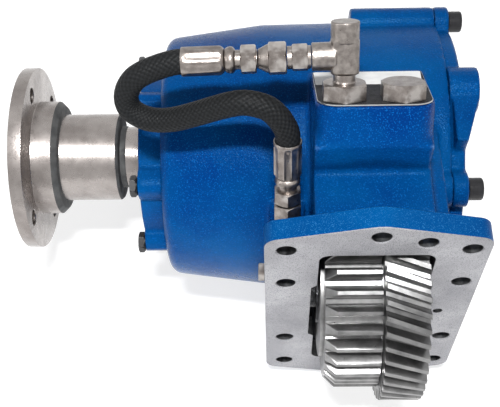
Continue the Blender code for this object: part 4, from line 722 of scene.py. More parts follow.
# Plain blue paint: its lighter specks are painted glints.
PAINT_SMOOTH = surface(
    "blue_paint_plain", (0.0004, 0.04, 0.155), (0.0004, 0.062, 0.208), (0.26, 0.4), 0, 14,
    ((900, 0.0002), (1900, 0.00006)), speck=((0.02, 0.13, 0.32), 1500, 0.37), gloss=0.1, tint=PAINT_TINT)
RAW_CASTING = surface(
    "raw_casting", (0.01, 0.011, 0.013), (0.03, 0.032, 0.036), (0.5, 0.7), 0.3, 60,
    ((500, 0.0004), (1500, 0.0001)))
MACHINED = surface(
    "machined_face", (0.21, 0.21, 0.225), (0.37, 0.37, 0.385), (0.44, 0.58), 0.6, 12,
    ((1300, 0.00004), (3200, 0.00002)), speck=((0.12, 0.12, 0.14), 1900, 0.4))
GEAR_STEEL = surface(
    "gear_steel", (0.155, 0.155, 0.156), (0.27, 0.269, 0.268), (0.27, 0.4), 1, 70, ((900, 0.000012),))
TURNED_STEEL = surface(
    "turned_steel", (0.24, 0.216, 0.205), (0.36, 0.331, 0.316), (0.22, 0.34), 1, 40, ((1200, 0.00002),),
    marks=(0.0011, 0.000006))
HOLE_WALL = surface(
    "hole_wall", (0.026, 0.026, 0.028), (0.19, 0.194, 0.2), (0.28, 0.45), 0.8, 90, ((900, 0.00012),))
OILY_STEEL = surface(
    "oily_steel", (0.006, 0.006, 0.007), (0.06, 0.062, 0.066), (0.2, 0.4), 0.9, 130, ((600, 0.0002),))
# Painted shade: a dark finish for the flange's right end faces and for the thin ring beside the barrel, a
# painted shadow.
FLANGE_PAINTED_SHADE = surface(
    "flange_painted_shade", (0.038, 0.039, 0.04), (0.085, 0.086, 0.085), (0.55, 0.75), 0.4, 80,
    ((1200, 0.00008),))
HIDDEN_STEEL = surface("plain_steel", (0.26,) * 3, (0.38,) * 3, (0.3, 0.45), 1, 60, ((1200, 0.00003),))
PLATING = surface(
    "nickel_plating", (0.19, 0.166, 0.153), (0.31, 0.28, 0.26), (0.26, 0.42), 1, 160,
    ((1400, 0.00006), (400, 0.00006)), PLATING_EDGE_HIGHLIGHT)
FORGED = surface(
    "plated_forging", (0.18, 0.16, 0.148), (0.31, 0.283, 0.262), (0.26, 0.42), 1, 220,
    ((700, 0.00016), (1700, 0.00008)), PLATING_EDGE_HIGHLIGHT)
BLACK_OXIDE = surface(
    "black_oxide", (0.004, 0.004, 0.005), (0.012, 0.012, 0.014), (0.25, 0.42), 0, 120,
    ((1500, 0.00004),), gloss=0.3)
PLATE_BLACK = surface(
    "plate_black", (0.006, 0.006, 0.007), (0.016, 0.016, 0.018), (0.55, 0.7), 0, 90, ((2000, 0.00004),),
    speck=((0.1, 0.1, 0.1), 2400, 0.3), gloss=0.15)
PLATE_METAL = surface("plate_metal", (0.42,) * 3, (0.56,) * 3, (0.25, 0.38), 1, 150, ((1500, 0.00003),))
PLATE_FIELD = surface(
    "plate_field", (0.66, 0.66, 0.65), (0.8, 0.8, 0.78), (0.35, 0.5), 0, 60, ((1500, 0.00002),), gloss=0.2)
RUBBER = surface(
    "black_rubber", (0.006, 0.006, 0.007), (0.014, 0.014, 0.015), (0.55, 0.75), 0, 150,
    ((1500, 0.00005),), gloss=0.2)
BRONZE = surface("bronze", (0.42, 0.26, 0.12), (0.6, 0.4, 0.19), (0.3, 0.45), 1, 120, ((1500, 0.00004),))
BRAID = braid_material()


# Pieces

def piece(name, mesh, materials, body, nodes=(), place=None, sharp=30, finish_of=None):
    """A shown piece. finish_of picks the material's number for a face from its centre and normal."""
    made = show(name, mesh)
    mesh.materials.clear()
    for material in materials:
        mesh.materials.append(material)
    for face in mesh.polygons:
        face.material_index = finish_of(face.center, face.normal) if finish_of else 0
    mesh.shade_smooth()
    if sharp:
        mesh.set_sharp_from_angle(angle=radians(sharp))
    if place is not None:
        made.matrix_world = place
    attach(made, body)
    if nodes:
        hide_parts(*nodes)
    return made


def plated(name, parts, replaced, place, sharp=24):
    """A plated fitting, joined from (mesh, place) pairs, which stands for one solid."""
    piece(name, joined(parts), [PLATING], "housing", [replaced], place, sharp)


def cad_copy(name):
    return frame["nodes"][name].data.copy()


def drum_radius(x):
    """The drum's outer radius at a place along it."""
    for (left, low), (right, high) in zip(DRUM_PROFILE, DRUM_PROFILE[1:]):
        if x <= right:
            return low + (high - low) * (x - left) / (right - left)
    return DRUM_PROFILE[-1][1]


def inside_housing(centre, normal):
    """1 for the faces of the hollows, which have no paint, and 0 for the rest."""
    reach = drum_radius(centre.x) - DRUM_WALL / 2
    if hypot(centre.y - OUTPUT_AXIS_Y, centre.z) < reach and DRUM_HOLLOW[0] < centre.x < DRUM_HOLLOW[1]:
        return 1
    return int(any(abs(centre.x) < x and centre.y < y and abs(centre.z) < z
                   for x, y, z in (NECK_HOLLOW, OPENING_HOLLOW)))


def turned_casting(name, profile, cell):
    """A cast piece: its solid with a finely stepped ring, which makes its round side truly round."""
    skin = lathe(profile, CAST_STEPS, 0)
    mesh = cast(joined([(cad_copy(name), HERE), (skin, OUTPUT_AXIS)]), cell, CAST_EASE)
    piece(f"{name}_casting", mesh, [PAINT], "housing", [name], sharp=0)


def drum_skin():
    """The drum's round wall, finely stepped, without the part that the cavity opens."""
    (left, start), (middle, most), (right, end) = DRUM_PROFILE
    corner = DRUM_CORNER_RADIUS
    outside = []
    for step in range(DRUM_CORNER_STEPS + 1):
        angle = pi / 2 * step / DRUM_CORNER_STEPS
        outside.append((left + corner * (1 - cos(angle)), start - corner * (1 - sin(angle))))
    inside = [(right, end - SHELL), (middle, most - SHELL), (left + corner, start - SHELL),
              (left + SHELL, start - corner)]
    wall = lathe([*outside, (middle, most), (right, end), *inside], CAST_STEPS, 0)
    wall.transform(OUTPUT_AXIS)
    cavity = [Vector((x * CAVITY_HALF_WIDTH, z * CAVITY_HALF_HEIGHT))
              for x, z in ((-1, -1), (1, -1), (1, 1), (-1, 1))]
    return carved(wall, [(prism(cavity, -CAVITY_BACK_Y, 0), FACE_FRAME)])


def housing_casting():
    mesh = cast(joined([(cad_copy("housing"), HERE), (drum_skin(), HERE)]), HOUSING_CELL, HOUSING_EASE)
    work = bmesh.new()
    work.from_mesh(mesh)
    bmesh.ops.bisect_plane(work, geom=[*work.verts, *work.edges, *work.faces], dist=1e-6,
                           plane_co=(0, HOUSING_CUT_Y, 0), plane_no=(0, -1, 0), clear_outer=True)
    work.to_mesh(mesh)
    work.free()
    thinner = plain_object(mesh)
    thinner.modifiers.new("thin", "DECIMATE").ratio = HOUSING_SHARE
    piece("housing_casting", finished(thinner), [PAINT, RAW_CASTING], "housing", ["housing"],
          sharp=0, finish_of=inside_housing)


def pad_outline():
    corners = []
    for x, height in ((PAD_RIGHT_X, 1), (PAD_LEFT_X, 1), (PAD_LEFT_X, -1), (PAD_RIGHT_X, -1)):
        corner = (x, height * PAD_CORNER_HEIGHT, PAD_CORNER_RADIUS)
        peak = (0, height * PAD_PEAK_HEIGHT, PAD_PEAK_RADIUS)
        corners += [corner, peak] if x * height > 0 else [corner]
    return rounded(corners)


def opening_outline():
    left = OPENING_LEFT_X
    step = BULGE
    upper = [
        (OPENING_RIGHT_X, OPENING_HALF_HEIGHT, OPENING_CORNER_RADIUS),
        (left, OPENING_HALF_HEIGHT, OPENING_CORNER_RADIUS),
        (left, BULGE_HALF_HEIGHT + step, BULGE_RADIUS),
        (left - step, BULGE_HALF_HEIGHT, BULGE_RADIUS),
    ]
    return rounded(upper + [(x, -height, radius) for x, height, radius in reversed(upper)])


def bolt_places():
    places = [(side * BOLT_COLUMN_X, row * height)
              for side in (-1, 1) for row in (-1, 1) for height in BOLT_ROW_HEIGHTS]
    return places + [(0, BOLT_PEAK_HEIGHT), (0, -BOLT_PEAK_HEIGHT), BOLT_EXTRA]


def pad_finish(centre, normal):
    """0 for the bare face, 1 for the painted outer edge and back, and 2 for the walls of the holes."""
    if normal.z > 0.3:
        return 0
    if normal.z < -0.9 or centre.z < -PAD_THICKNESS:
        return 1
    return 2 if any(abs(centre.x) < x and abs(centre.y) < y for x, y in HOLE_WALL_REACH) else 1


def mounting_pad():
    plate = prism(grown(pad_outline(), PAD_SKIN), -PAD_THICKNESS - PAD_SKIN, PAD_SKIN, PAD_EDGE)
    deep = PAD_THICKNESS + CUT_PAST
    flare = BOLT_HOLE_RADIUS + BOLT_HOLE_CHAMFER
    hole = [(-deep, 0), (-deep, BOLT_HOLE_RADIUS), (-BOLT_HOLE_CHAMFER, BOLT_HOLE_RADIUS),
            (PAD_SKIN, flare + PAD_SKIN), (FLARE_PAST, flare + FLARE_PAST), (FLARE_PAST, 0)]
    pin = rod(-deep, FLARE_PAST, LOCK_PIN_RADIUS + GAP, 32, 0)
    bore = rod(SHAFT_BORE_START, SHAFT_BORE_END, SHAFT_BORE_RADIUS, 48, 0)
    cutters = [(prism(opening_outline(), -deep, CUT_PAST), HERE)]
    cutters += [(lathe(hole, 48, 0), along((x, z, 0), UP)) for x, z in bolt_places()]
    cutters += [(pin, along((LOCK_PIN_X, 0, 0), UP)), (bore, FACE_FRAME.inverted() @ INPUT_AXIS)]
    piece("mounting_pad", carved(plate, cutters), [MACHINED, PAINT_SMOOTH, HOLE_WALL], "housing",
          ["housing"], FACE_FRAME, finish_of=pad_finish)


# Gears

def spur_outline(tip):
    """The spur gear's outline: involute flanks, small chamfers at the tips and a tooth on angle 0."""
    root = SPUR_PITCH_RADIUS - 1.25 * TOOTH_MODULE
    base = SPUR_PITCH_RADIUS * cos(PRESSURE_ANGLE)
    pitch_roll = tan(PRESSURE_ANGLE) - PRESSURE_ANGLE
    half_tooth = pi / 2 / SPUR_TEETH - TOOTH_THINNING / 2 / SPUR_PITCH_RADIUS
    start = max(base, root)
    flank = []
    for step in range(FLANK_STEPS + 1):
        radius = start + (tip - TOOTH_EDGE - start) * step / FLANK_STEPS
        roll = acos(base / radius)
        flank.append((radius, half_tooth + pitch_roll - (tan(roll) - roll)))
    gap = pi / SPUR_TEETH
    foot = min(flank[0][1], gap * 0.86)
    flank[0] = (start, foot)
    flank = [(root, min(foot + 0.0009 / root, gap)), (root + 0.0008, foot), *flank,
             (tip, flank[-1][1] - TOOTH_EDGE / tip)]
    outline = []
    for tooth in range(SPUR_TEETH):
        centre = 2 * pi * tooth / SPUR_TEETH
        side = [(radius, centre - angle) for radius, angle in flank]
        side += [(radius, centre + angle) for radius, angle in reversed(flank)]
        outline += [(radius * cos(a), radius * sin(a)) for radius, a in side]
    return outline


def helical_outline(tip):
    """The helical gear's outline. shares are (share of the depth, share of the pitch) up a tooth."""
    outline = []
    pitch = 2 * pi / HELICAL_TEETH
    root = HELICAL_TIP_RADIUS - HELICAL_TOOTH_DEPTH
    shares = ((0.0, 0.70), (0.06, 0.64), (0.3, 0.55), (0.6, 0.45), (0.93, 0.345), (1.0, 0.30))
    side = [(root + (tip - root) * depth, -share) for depth, share in shares]
    side += [(radius, -share) for radius, share in reversed(side)]
    for tooth in range(HELICAL_TEETH):
        for radius, share in side:
            angle = pitch * (tooth + share / 2)
            outline.append((radius * cos(angle), radius * sin(angle)))
    return outline


def gear(name, sections, replaced, sharp):
    """A bored gear lofted along X from its outlines, given as (x, outline, turn)."""
    rings = []
    for x, outline, turn in sections:
        spin = Matrix.Rotation(turn, 2)
        rings.append([(x, *(spin @ Vector(point))) for point in outline])
    teeth = carved(loft(rings), [(rod(-CUT_THROUGH, CUT_THROUGH, GEAR_BORE_RADIUS, 48, 0), HERE)])
    piece(name, teeth, [GEAR_STEEL], "input", [replaced], INPUT_AXIS, sharp)


def gear_ring(name, low, high, radius, ease):
    mesh = square_ring(low, high, GEAR_BORE_RADIUS, radius, 96, ease)
    piece(name, mesh, [GEAR_STEEL], "input", (), INPUT_AXIS)


def spur_gear():
    tip = SPUR_PITCH_RADIUS + TOOTH_MODULE
    low = tip - SPUR_END_BEVEL
    ends = ((SPUR_LEFT_X, low - 0.0002), (SPUR_LEFT_X + 0.0004, low + GEAR_LIP),
            (SPUR_LEFT_X + SPUR_END_BEVEL, tip), (SPUR_RIGHT_X - GEAR_LIP, tip),
            (SPUR_RIGHT_X, tip - GEAR_LIP))
    turn = pi / SPUR_TEETH
    gear("spur_teeth", [(x, spur_outline(reach), turn) for x, reach in ends], "spur_gear", 28)
    gear_ring("spur_hub", HUB_LEFT_X, SPUR_LEFT_X + GEAR_OVERLAP, HUB_RADIUS, 0.0006)


def helical_gear():
    length = HELICAL_RIGHT_X - HELICAL_LEFT_X
    twist = length * tan(HELIX_ANGLE) / HELICAL_TIP_RADIUS
    lip = GEAR_LIP / length
    sections = []
    for share in sorted([lip, 1 - lip, *(step / HELICAL_STEPS for step in range(HELICAL_STEPS + 1))]):
        tip = HELICAL_TIP_RADIUS - (GEAR_LIP if share in (0, 1) else 0)
        turn = twist * share + HELICAL_FIRST_TOOTH
        sections.append((HELICAL_LEFT_X + length * share, helical_outline(tip), turn))
    gear("helical_teeth", sections, "helical_gear", 24)
    gear_ring("gear_collar", SPUR_RIGHT_X + 0.0002, HELICAL_LEFT_X + GEAR_OVERLAP, COLLAR_RADIUS, 0.0004)


# Companion flange, its nut and washer

def flange_finish(centre, normal):
    """1 for painted shade: the ring beside the barrel and the right ends of boss and barrel. 0 for the rest.
    """
    radius = hypot(centre.y, centre.z)
    on_shadow_ring = BARREL_RIGHT_X < centre.x < SHADOW_RING_RIGHT_X + GAP and radius < BARREL_RADIUS - 0.004
    return 1 if on_shadow_ring or normal.x > 0.5 and radius < BOSS_RADIUS else 0


def companion_flange():
    face = FLANGE_LEFT_X + PILOT_DEPTH
    inner = FLANGE_LEFT_X + FLANGE_THICKNESS
    recess = FLANGE_LEFT_X + NUT_RECESS_DEPTH + GAP
    profile = [
        (face, NUT_RECESS_RADIUS), (face, PILOT_RADIUS), (FLANGE_LEFT_X, PILOT_RADIUS),
        (FLANGE_LEFT_X, FLANGE_RADIUS), (inner, FLANGE_RADIUS), (inner, BOSS_RADIUS),
        (BOSS_RIGHT_X - BOSS_CHAMFER, BOSS_RADIUS), (BOSS_RIGHT_X, BOSS_RADIUS - BOSS_CHAMFER),
        (BOSS_RIGHT_X, BARREL_RADIUS), (BARREL_RIGHT_X - BARREL_CHAMFER, BARREL_RADIUS),
        (BARREL_RIGHT_X, BARREL_RADIUS - BARREL_CHAMFER), (BARREL_RIGHT_X, SHADOW_RING_RADIUS),
        (SHADOW_RING_RIGHT_X, SHADOW_RING_RADIUS), (SHADOW_RING_RIGHT_X, JOURNAL_RADIUS),
        (JOURNAL_RIGHT_X, JOURNAL_RADIUS), (JOURNAL_RIGHT_X, FLANGE_BORE_RADIUS),
        (recess, FLANGE_BORE_RADIUS), (recess, NUT_RECESS_RADIUS),
    ]
    low = FLANGE_LEFT_X - FLARE_PAST
    high = inner + FLARE_PAST
    flare = FLANGE_HOLE_RADIUS + FLARE_PAST + FLANGE_HOLE_LIP
    hole = [(low, 0), (low, flare), (FLANGE_LEFT_X + FLANGE_HOLE_LIP, FLANGE_HOLE_RADIUS),
            (inner - FLANGE_HOLE_LIP, FLANGE_HOLE_RADIUS), (high, flare), (high, 0)]
    cutters = [(lathe(hole, 40, 0), about_shaft(FLANGE_HOLE_CIRCLE, angle))
               for angle in FLANGE_HOLE_ANGLES]
    mesh = carved(lathe(profile, 128, 0.0006), cutters)
    piece("drive_flange", mesh, [TURNED_STEEL, FLANGE_PAINTED_SHADE], "output", ["companion_flange"],
          OUTPUT_AXIS, finish_of=flange_finish)


def flange_nut():
    right = FLANGE_LEFT_X + NUT_RECESS_DEPTH - GAP
    left = right - NUT_WASHER_THICKNESS
    bore = SHAFT_THREAD_RADIUS + GAP
    washer = square_ring(left, left + NUT_WASHER_THICKNESS, bore, NUT_WASHER_RADIUS, 64)
    piece("nut_washer", washer, [HIDDEN_STEEL], "output", ["flange_washer"], OUTPUT_AXIS)
    nut = carved(hex_bar(FLANGE_NUT_HEIGHT, FLANGE_NUT_FLATS), [(rod(-0.01, 0.03, bore, 48, 0), HERE)])
    piece("drive_nut", nut, [HIDDEN_STEEL], "output", ["flange_nut"],
          OUTPUT_AXIS @ moved(left - GAP - FLANGE_NUT_HEIGHT))


# Hexagons, bolts and fittings

def hex_reach(flats, angle):
    """How far a hexagon's outline is from its middle, with its corners slightly rounded off."""
    off = (angle + pi / 6) % (pi / 3) - pi / 6
    return min(flats / 2 / cos(off), flats / 2 * HEX_CORNER_REACH)


def hex_bar(length, flats, both=True):
    """A hexagon bar along X whose ends are turned down, which leaves an arc on each side."""
    face = flats / 2 * HEX_FACE_SHARE

    def reach(angle):
        return hex_reach(flats, angle)

    def drop(angle):
        return (reach(angle) - face) * HEX_CHAMFER_SLOPE

    start = [(0, face), (drop, reach)] if both else [(0, reach)]
    return turned([*start, (lambda angle: length - drop(angle), reach), (length, face)], 144)


def cap_bolts():
    right = CAP_LEFT_X - GAP
    for i in range(CAP_BOLT_COUNT):
        angle = CAP_BOLT_FIRST_ANGLE + 2 * pi * i / CAP_BOLT_COUNT
        washer = rod(right - CAP_BOLT_WASHER, right, CAP_BOLT_FLATS / 2 * CAP_BOLT_WASHER_SHARE, 48, 0.0002)
        head = hex_bar(CAP_BOLT_HEAD - CAP_BOLT_SUNK, CAP_BOLT_FLATS)
        mesh = joined([(washer, HERE), (head, moved(right - CAP_BOLT_HEAD))])
        piece(f"cap_bolt_head_{i + 1}", mesh, [BLACK_OXIDE], "housing", [f"cap_bolt_{i + 1}"],
              OUTPUT_AXIS @ about_shaft(CAP_BOLT_CIRCLE, angle))


def cover_screw_mesh():
    """A knurled socket head along X from 0, with its hexagon socket in the far end."""
    radius = COVER_SCREW_RADIUS
    top = COVER_SCREW_HEAD

    def knurled(angle):
        return radius - KNURL_DEPTH * (1 + cos(KNURLS * angle)) / 2

    def socket(angle):
        return hex_reach(SOCKET_FLATS, angle)

    return turned([
        (0, radius - 0.0008), (0.0006, radius), (0.0012, knurled), (top - 0.0016, knurled),
        (top - 0.0009, radius - 0.0003), (top - 0.0003, radius - 0.0008), (top, radius - 0.0016),
        (top, lambda angle: socket(angle) + 0.0003), (top - 0.0004, socket),
        (top - SOCKET_DEPTH, socket),
    ])


def cover_screws():
    for i, angle in enumerate(COVER_SCREW_ANGLES):
        place = OUTPUT_AXIS @ about_shaft(COVER_SCREW_CIRCLE, angle, COVER_RIGHT_X + GAP)
        piece(f"cover_screw_head_{i + 1}", cover_screw_mesh(), [BLACK_OXIDE], "housing",
              [f"cover_screw_{i + 1}"], place, sharp=38)


def port_fittings():
    for name, port in (("port_adapter", LEFT_PORT), ("port_plug", RIGHT_PORT)):
        parts = [(hex_bar(PORT_HEX_HEIGHT, PORT_HEX_FLATS, both=False), HERE)]
        if name == "port_adapter":
            low = PORT_HEX_HEIGHT - 0.001
            high = PORT_HEX_HEIGHT + ADAPTER_NECK_HEIGHT
            neck = lathe([(low, 0), (low, ADAPTER_NECK_RADIUS + 0.0008),
                          (PORT_HEX_HEIGHT + 0.0012, ADAPTER_NECK_RADIUS), (high, ADAPTER_NECK_RADIUS),
                          (high, 0)], 64)
            parts.append((neck, HERE))
        plated(f"{name}_hex", parts, name, on_block(port, PORT_SEAT) @ UPRIGHT)


def tee_fitting():
    sides = ((1, 1), (-1, 1), (-1, -1), (1, -1))
    outline = rounded([(x * TEE_RUN_RADIUS, y * TEE_BODY_WIDTH / 2, TEE_CORNER_RADIUS) for x, y in sides])
    body = prism(outline, 0, TEE_BODY_HEIGHT, TEE_BODY_EDGE)
    end = TEE_BODY_HEIGHT + TEE_RUN_HEIGHT
    run = lathe([(TEE_BODY_HEIGHT - 0.006, 0), (TEE_BODY_HEIGHT - 0.002, TEE_RUN_RADIUS),
                 (end, TEE_RUN_RADIUS), (end, 0)], 72)
    branch = lathe([(0.001, 0), (0.006, TEE_BRANCH_RADIUS), (TEE_BRANCH_LENGTH, TEE_BRANCH_RADIUS),
                    (TEE_BRANCH_LENGTH, 0)], 72)
    place = on_block(LEFT_PORT, TEE_SEAT)
    out = place.inverted() @ along(BRANCH_START, UPPER_LINE, UP)
    mesh = cast(joined([(body, HERE), (run, UPRIGHT), (branch, out)]), TEE_CELL, TEE_EASE)
    piece("tee_forging", mesh, [FORGED], "housing", ["tee_fitting"], place, sharp=0)


def swivel_nut(start):
    low = NUT_LENGTH - 0.003
    end = NUT_LENGTH + NUT_CONE_LENGTH
    flat = NUT_FLATS / 2
    cone = lathe([(low, 0), (low, flat - 0.0006), (NUT_LENGTH, flat - 0.0006),
                  (NUT_LENGTH + 0.0015, flat - 0.001), (end - 0.0012, NIPPLE_NECK_RADIUS + 0.0004),
                  (end, NIPPLE_NECK_RADIUS), (end, 0)], 64)
    plated("swivel_nut", [(hex_bar(NUT_LENGTH, NUT_FLATS), HERE), (cone, HERE)], "upper_swivel_nut",
           along(start, UPPER_LINE, UP))
    return start + UPPER_LINE * (end + GAP)


def crimped_socket(left, mouth, seat, sides, depth, ribs):
    """A crimped ferrule: flats or ribs along its length, a collar before its mouth and an open end."""
    radius = SOCKET_RADIUS

    def crimp(angle):
        wave = abs(cos(sides * angle / 2)) if ribs else (1 - cos(sides * angle)) / 2
        return radius - depth * wave ** (0.6 if ribs else 1.0)

    return turned([
        (left, radius - 0.0024), (left + 0.0005, radius - 0.0016), (left + 0.0016, radius - 0.0007),
        (left + 0.0030, crimp), ((left + mouth) / 2, crimp), (mouth - 0.0042, crimp),
        (mouth - 0.0028, radius - 0.0001), (mouth - 0.0007, radius), (mouth, radius - 0.0004),
        (mouth, HOSE_RADIUS + 0.0005), (seat, HOSE_RADIUS + 0.0004),
    ])


def hex_on_neck(left, length, flats, neck_end, neck_radius):
    """A hexagon on a round neck that starts at 0, as (mesh, place) pairs."""
    return [(hex_bar(length, flats), moved(left)), (rod(0, neck_end, neck_radius), HERE)]


def hose_end(name, start, direction, side, sides, depth, ribs):
    """A nipple and its crimped socket along one line. Returns the hose's seat and its mouth."""
    place = along(start, direction, side)
    low = NIPPLE_START + NIPPLE_HEX_LENGTH + NIPPLE_NECK_LENGTH
    high = low + NIPPLE_RING_LENGTH
    radius = NIPPLE_RING_RADIUS
    bead = lathe([(low, 0), (low, radius - 0.0024), (low + 0.0016, radius - 0.0004), (low + 0.003, radius),
                  (high - 0.0022, radius - 0.0003), (high, radius - 0.0016), (high, 0)], 64, 0.0007)
    parts = hex_on_neck(NIPPLE_START, NIPPLE_HEX_LENGTH, NIPPLE_HEX_FLATS, low + 0.001,
                        NIPPLE_NECK_RADIUS)
    plated(f"{name}_nipple_body", [*parts, (bead, HERE)], f"{name}_nipple", place)
    left = high + GAP
    mouth = left + SOCKET_LENGTH
    seat = mouth - HOSE_SEAT_DEPTH
    ferrule = crimped_socket(left, mouth, seat, sides, depth, ribs)
    plated(f"{name}_ferrule", [(ferrule, HERE)], f"{name}_socket", place, 40)
    return place @ Vector((seat + GAP, 0, 0)), place @ Vector((mouth, 0, 0))


def upper_line():
    first = BRANCH_START + UPPER_LINE * (TEE_BRANCH_LENGTH + GAP)
    end = BRANCH_NECK_LENGTH + BRANCH_HEX_LENGTH + BRANCH_NECK_LENGTH * 1.5
    parts = hex_on_neck(BRANCH_NECK_LENGTH, BRANCH_HEX_LENGTH, BRANCH_HEX_FLATS, end, BRANCH_NECK_RADIUS)
    plated("branch_adapter_body", parts, "branch_adapter", along(first, UPPER_LINE, UP))
    nipple_start = swivel_nut(first + UPPER_LINE * (end + GAP))
    return hose_end("upper", nipple_start, UPPER_LINE, UP, 8, 0.0009, False)


def lower_line():
    neck = LOWER_NECK_LENGTH
    parts = hex_on_neck(neck, LOWER_HEX_LENGTH, LOWER_HEX_FLATS, neck + 0.002, LOWER_NECK_RADIUS)
    place = along(LOWER_PORT + LOWER_LINE * GAP, LOWER_LINE)
    plated("lower_adapter_body", parts, "lower_port_adapter", place)
    start = LOWER_PORT + LOWER_LINE * (neck + LOWER_HEX_LENGTH + 2 * GAP)
    return hose_end("lower", start, LOWER_LINE, (1, 0, 0), 12, 0.0010, True)


def smooth_route(points, steps):
    """Points on a smooth curve through all but the two end points."""
    route = []
    for i in range(1, len(points) - 2):
        before, here, after, beyond = points[i - 1:i + 3]
        for step in range(steps):
            t = step / steps
            route.append(0.5 * (2 * here + (after - before) * t
                                + (2 * before - 5 * here + 4 * after - beyond) * t ** 2
                                + (3 * here - before - 3 * after + beyond) * t ** 3))
    return route + [points[-2]]


def tube_mesh(path, radius, sides):
    """A tube along a path, with a UV map in metres: around it, then along it."""
    rings = []
    lengths = []
    length = 0.0
    way = (path[1] - path[0]).normalized()
    across = way.orthogonal().normalized()
    for i, here in enumerate(path):
        ahead = (path[min(i + 1, len(path) - 1)] - path[max(i - 1, 0)]).normalized()
        across = (across - ahead * across.dot(ahead)).normalized()
        other = ahead.cross(across)
        if i > 0:
            length += (here - path[i - 1]).length
        lengths.append(length)
        angles = [2 * pi * k / sides for k in range(sides)]
        rings.append([here + across * radius * cos(a) + other * radius * sin(a) for a in angles])
    mesh = loft(rings)
    layer = mesh.uv_layers.new(name="along")
    for face in mesh.polygons:
        if len(face.vertices) > 4:
            continue
        columns = [mesh.loops[corner].vertex_index % sides for corner in face.loop_indices]
        wraps = max(columns) - min(columns) > 1
        for corner, column in zip(face.loop_indices, columns):
            row = mesh.loops[corner].vertex_index // sides
            turn = (column + (sides if wraps and column == 0 else 0)) / sides
            layer.data[corner].uv = (turn * BRAID_AROUND, lengths[row])
    return mesh, lengths[-1]


def hose():
    upper_seat, upper_mouth = upper_line()
    lower_seat, lower_mouth = lower_line()
    middle = [Vector(point) for point in HOSE_ROUTE]
    upper_out = upper_mouth + (upper_mouth - upper_seat).normalized() * HOSE_STRAIGHT
    lower_out = lower_mouth + (lower_mouth - lower_seat).normalized() * HOSE_STRAIGHT
    points = [upper_seat, upper_out, *middle, lower_out, lower_seat]
    route = [upper_seat, *smooth_route(points, HOSE_SPAN_STEPS), lower_seat]
    fine = [2 * route[0] - route[1], *route, 2 * route[-1] - route[-2]]
    path = smooth_route(fine, HOSE_POINT_STEPS)
    mesh, length = tube_mesh(path, HOSE_RADIUS, HOSE_SIDES)
    made = piece("braided_hose", mesh, [BRAID], "housing", ["hose"], sharp=60)


# Label plate

def block_outline(margin, start=0.0):
    left = BLOCK_LEFT_X + margin
    low = max(margin, start)
    high = BLOCK_LENGTH - margin
    radius = BLOCK_CORNER_RADIUS - margin if start == 0 else LABEL_CORNER_RADIUS
    return rounded([(left, low, radius), (BLOCK_RIGHT_X - margin, low, radius),
                    (BLOCK_FAR_RIGHT_X - margin, high, PLATE_TAIL_RADIUS), (left, high, PLATE_TAIL_RADIUS)])


def label_plate():
    """A bare metal sheet under black enamel with a pale blank field."""
    holes = [(rod(-0.01, 0.01, PLATE_HOLE_RADIUS, 64, 0), moved(*port) @ UPRIGHT)
             for port in (LEFT_PORT, RIGHT_PORT)]
    top = GAP + PLATE_THICKNESS
    sheet = carved(prism(block_outline(PLATE_MARGIN), GAP, top - 0.0001, 0.0001), holes)
    piece("plate_sheet", sheet, [PLATE_METAL], "housing", ["label_plate"], BLOCK_FRAME)
    black = carved(prism(block_outline(PLATE_MARGIN + PLATE_RIM), top - ENAMEL_SKIN, top, 0.00005), holes)
    piece("plate_enamel", black, [PLATE_BLACK], "housing", (), BLOCK_FRAME)
    field = prism(block_outline(PLATE_MARGIN + 2.4 * PLATE_RIM, LABEL_START), top - 0.0001, top + 0.00006)
    piece("plate_blank_field", field, [PLATE_FIELD], "housing", (), BLOCK_FRAME)


# Small parts beside the pad and in the cover

def gallery_plug():
    low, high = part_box("gallery_plug")
    head = GALLERY_PLUG_HEAD
    face = Vector((low.x + head, (low.y + high.y) / 2, (low.z + high.z) / 2))
    plated("gallery_plug_head", [(hex_bar(head, GALLERY_PLUG_FLATS), HERE)], "gallery_plug",
           along(face, (-1, 0, 0), UP))


def rear_centre_plug():
    left = COVER_RIGHT_X + GAP
    right = COVER_RIGHT_X + REAR_PLUG_HEAD
    dish = right - DISH_DEPTH
    disc = lathe([(left, 0), (left, REAR_PLUG_RADIUS), (right, REAR_PLUG_RADIUS), (right, DISH_RADIUS),
                  (dish, DISH_RADIUS - 0.001), (dish, 0)], 96, 0.001)
    piece("rear_plug_disc", disc, [PAINT_SMOOTH], "housing", ["rear_centre_plug"],
          OUTPUT_AXIS)


def front_cap():
    low = CAP_BODY_RADIUS - 2 * SHELL
    turned_casting("front_cap", [(CAP_LEFT_X, low), (CAP_LEFT_X, CAP_BODY_RADIUS),
                                 (CAP_RIGHT_X, CAP_BODY_RADIUS), (CAP_RIGHT_X, low)], CAP_CELL)


def rear_cover():
    low = COVER_RADIUS - SHELL
    edge = 0.002
    turned_casting("rear_cover", [(COVER_LEFT_X, low), (COVER_LEFT_X, COVER_RADIUS),
                                  (COVER_RIGHT_X - edge, COVER_RADIUS), (COVER_RIGHT_X, COVER_RADIUS - edge),
                                  (COVER_RIGHT_X, low)], COVER_CELL)


def return_spring():
    """The clutch's return spring, on its own copy of its mesh; nothing here shortens it."""
    made = piece("clutch_return_spring", cad_copy("return_spring"), [HIDDEN_STEEL], "output",
                 ["return_spring"])
    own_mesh(made)


def dress_solids():
    """Finishes for the solids that stay as they are."""
    finishes = {"output_seal": RUBBER, "lock_pin": BLACK_OXIDE, "clutch_gear": GEAR_STEEL}
    for name, obj in frame["nodes"].items():
        if obj.hide_render:
            continue
        finish = finishes.get(name, HIDDEN_STEEL)
        if "bush" in name or "friction" in name:
            finish = BRONZE
        if name.startswith(("thrust_washer", "needle_bush", "idler_shaft")):
            finish = OILY_STEEL
        obj.data.materials.clear()
        obj.data.materials.append(finish)


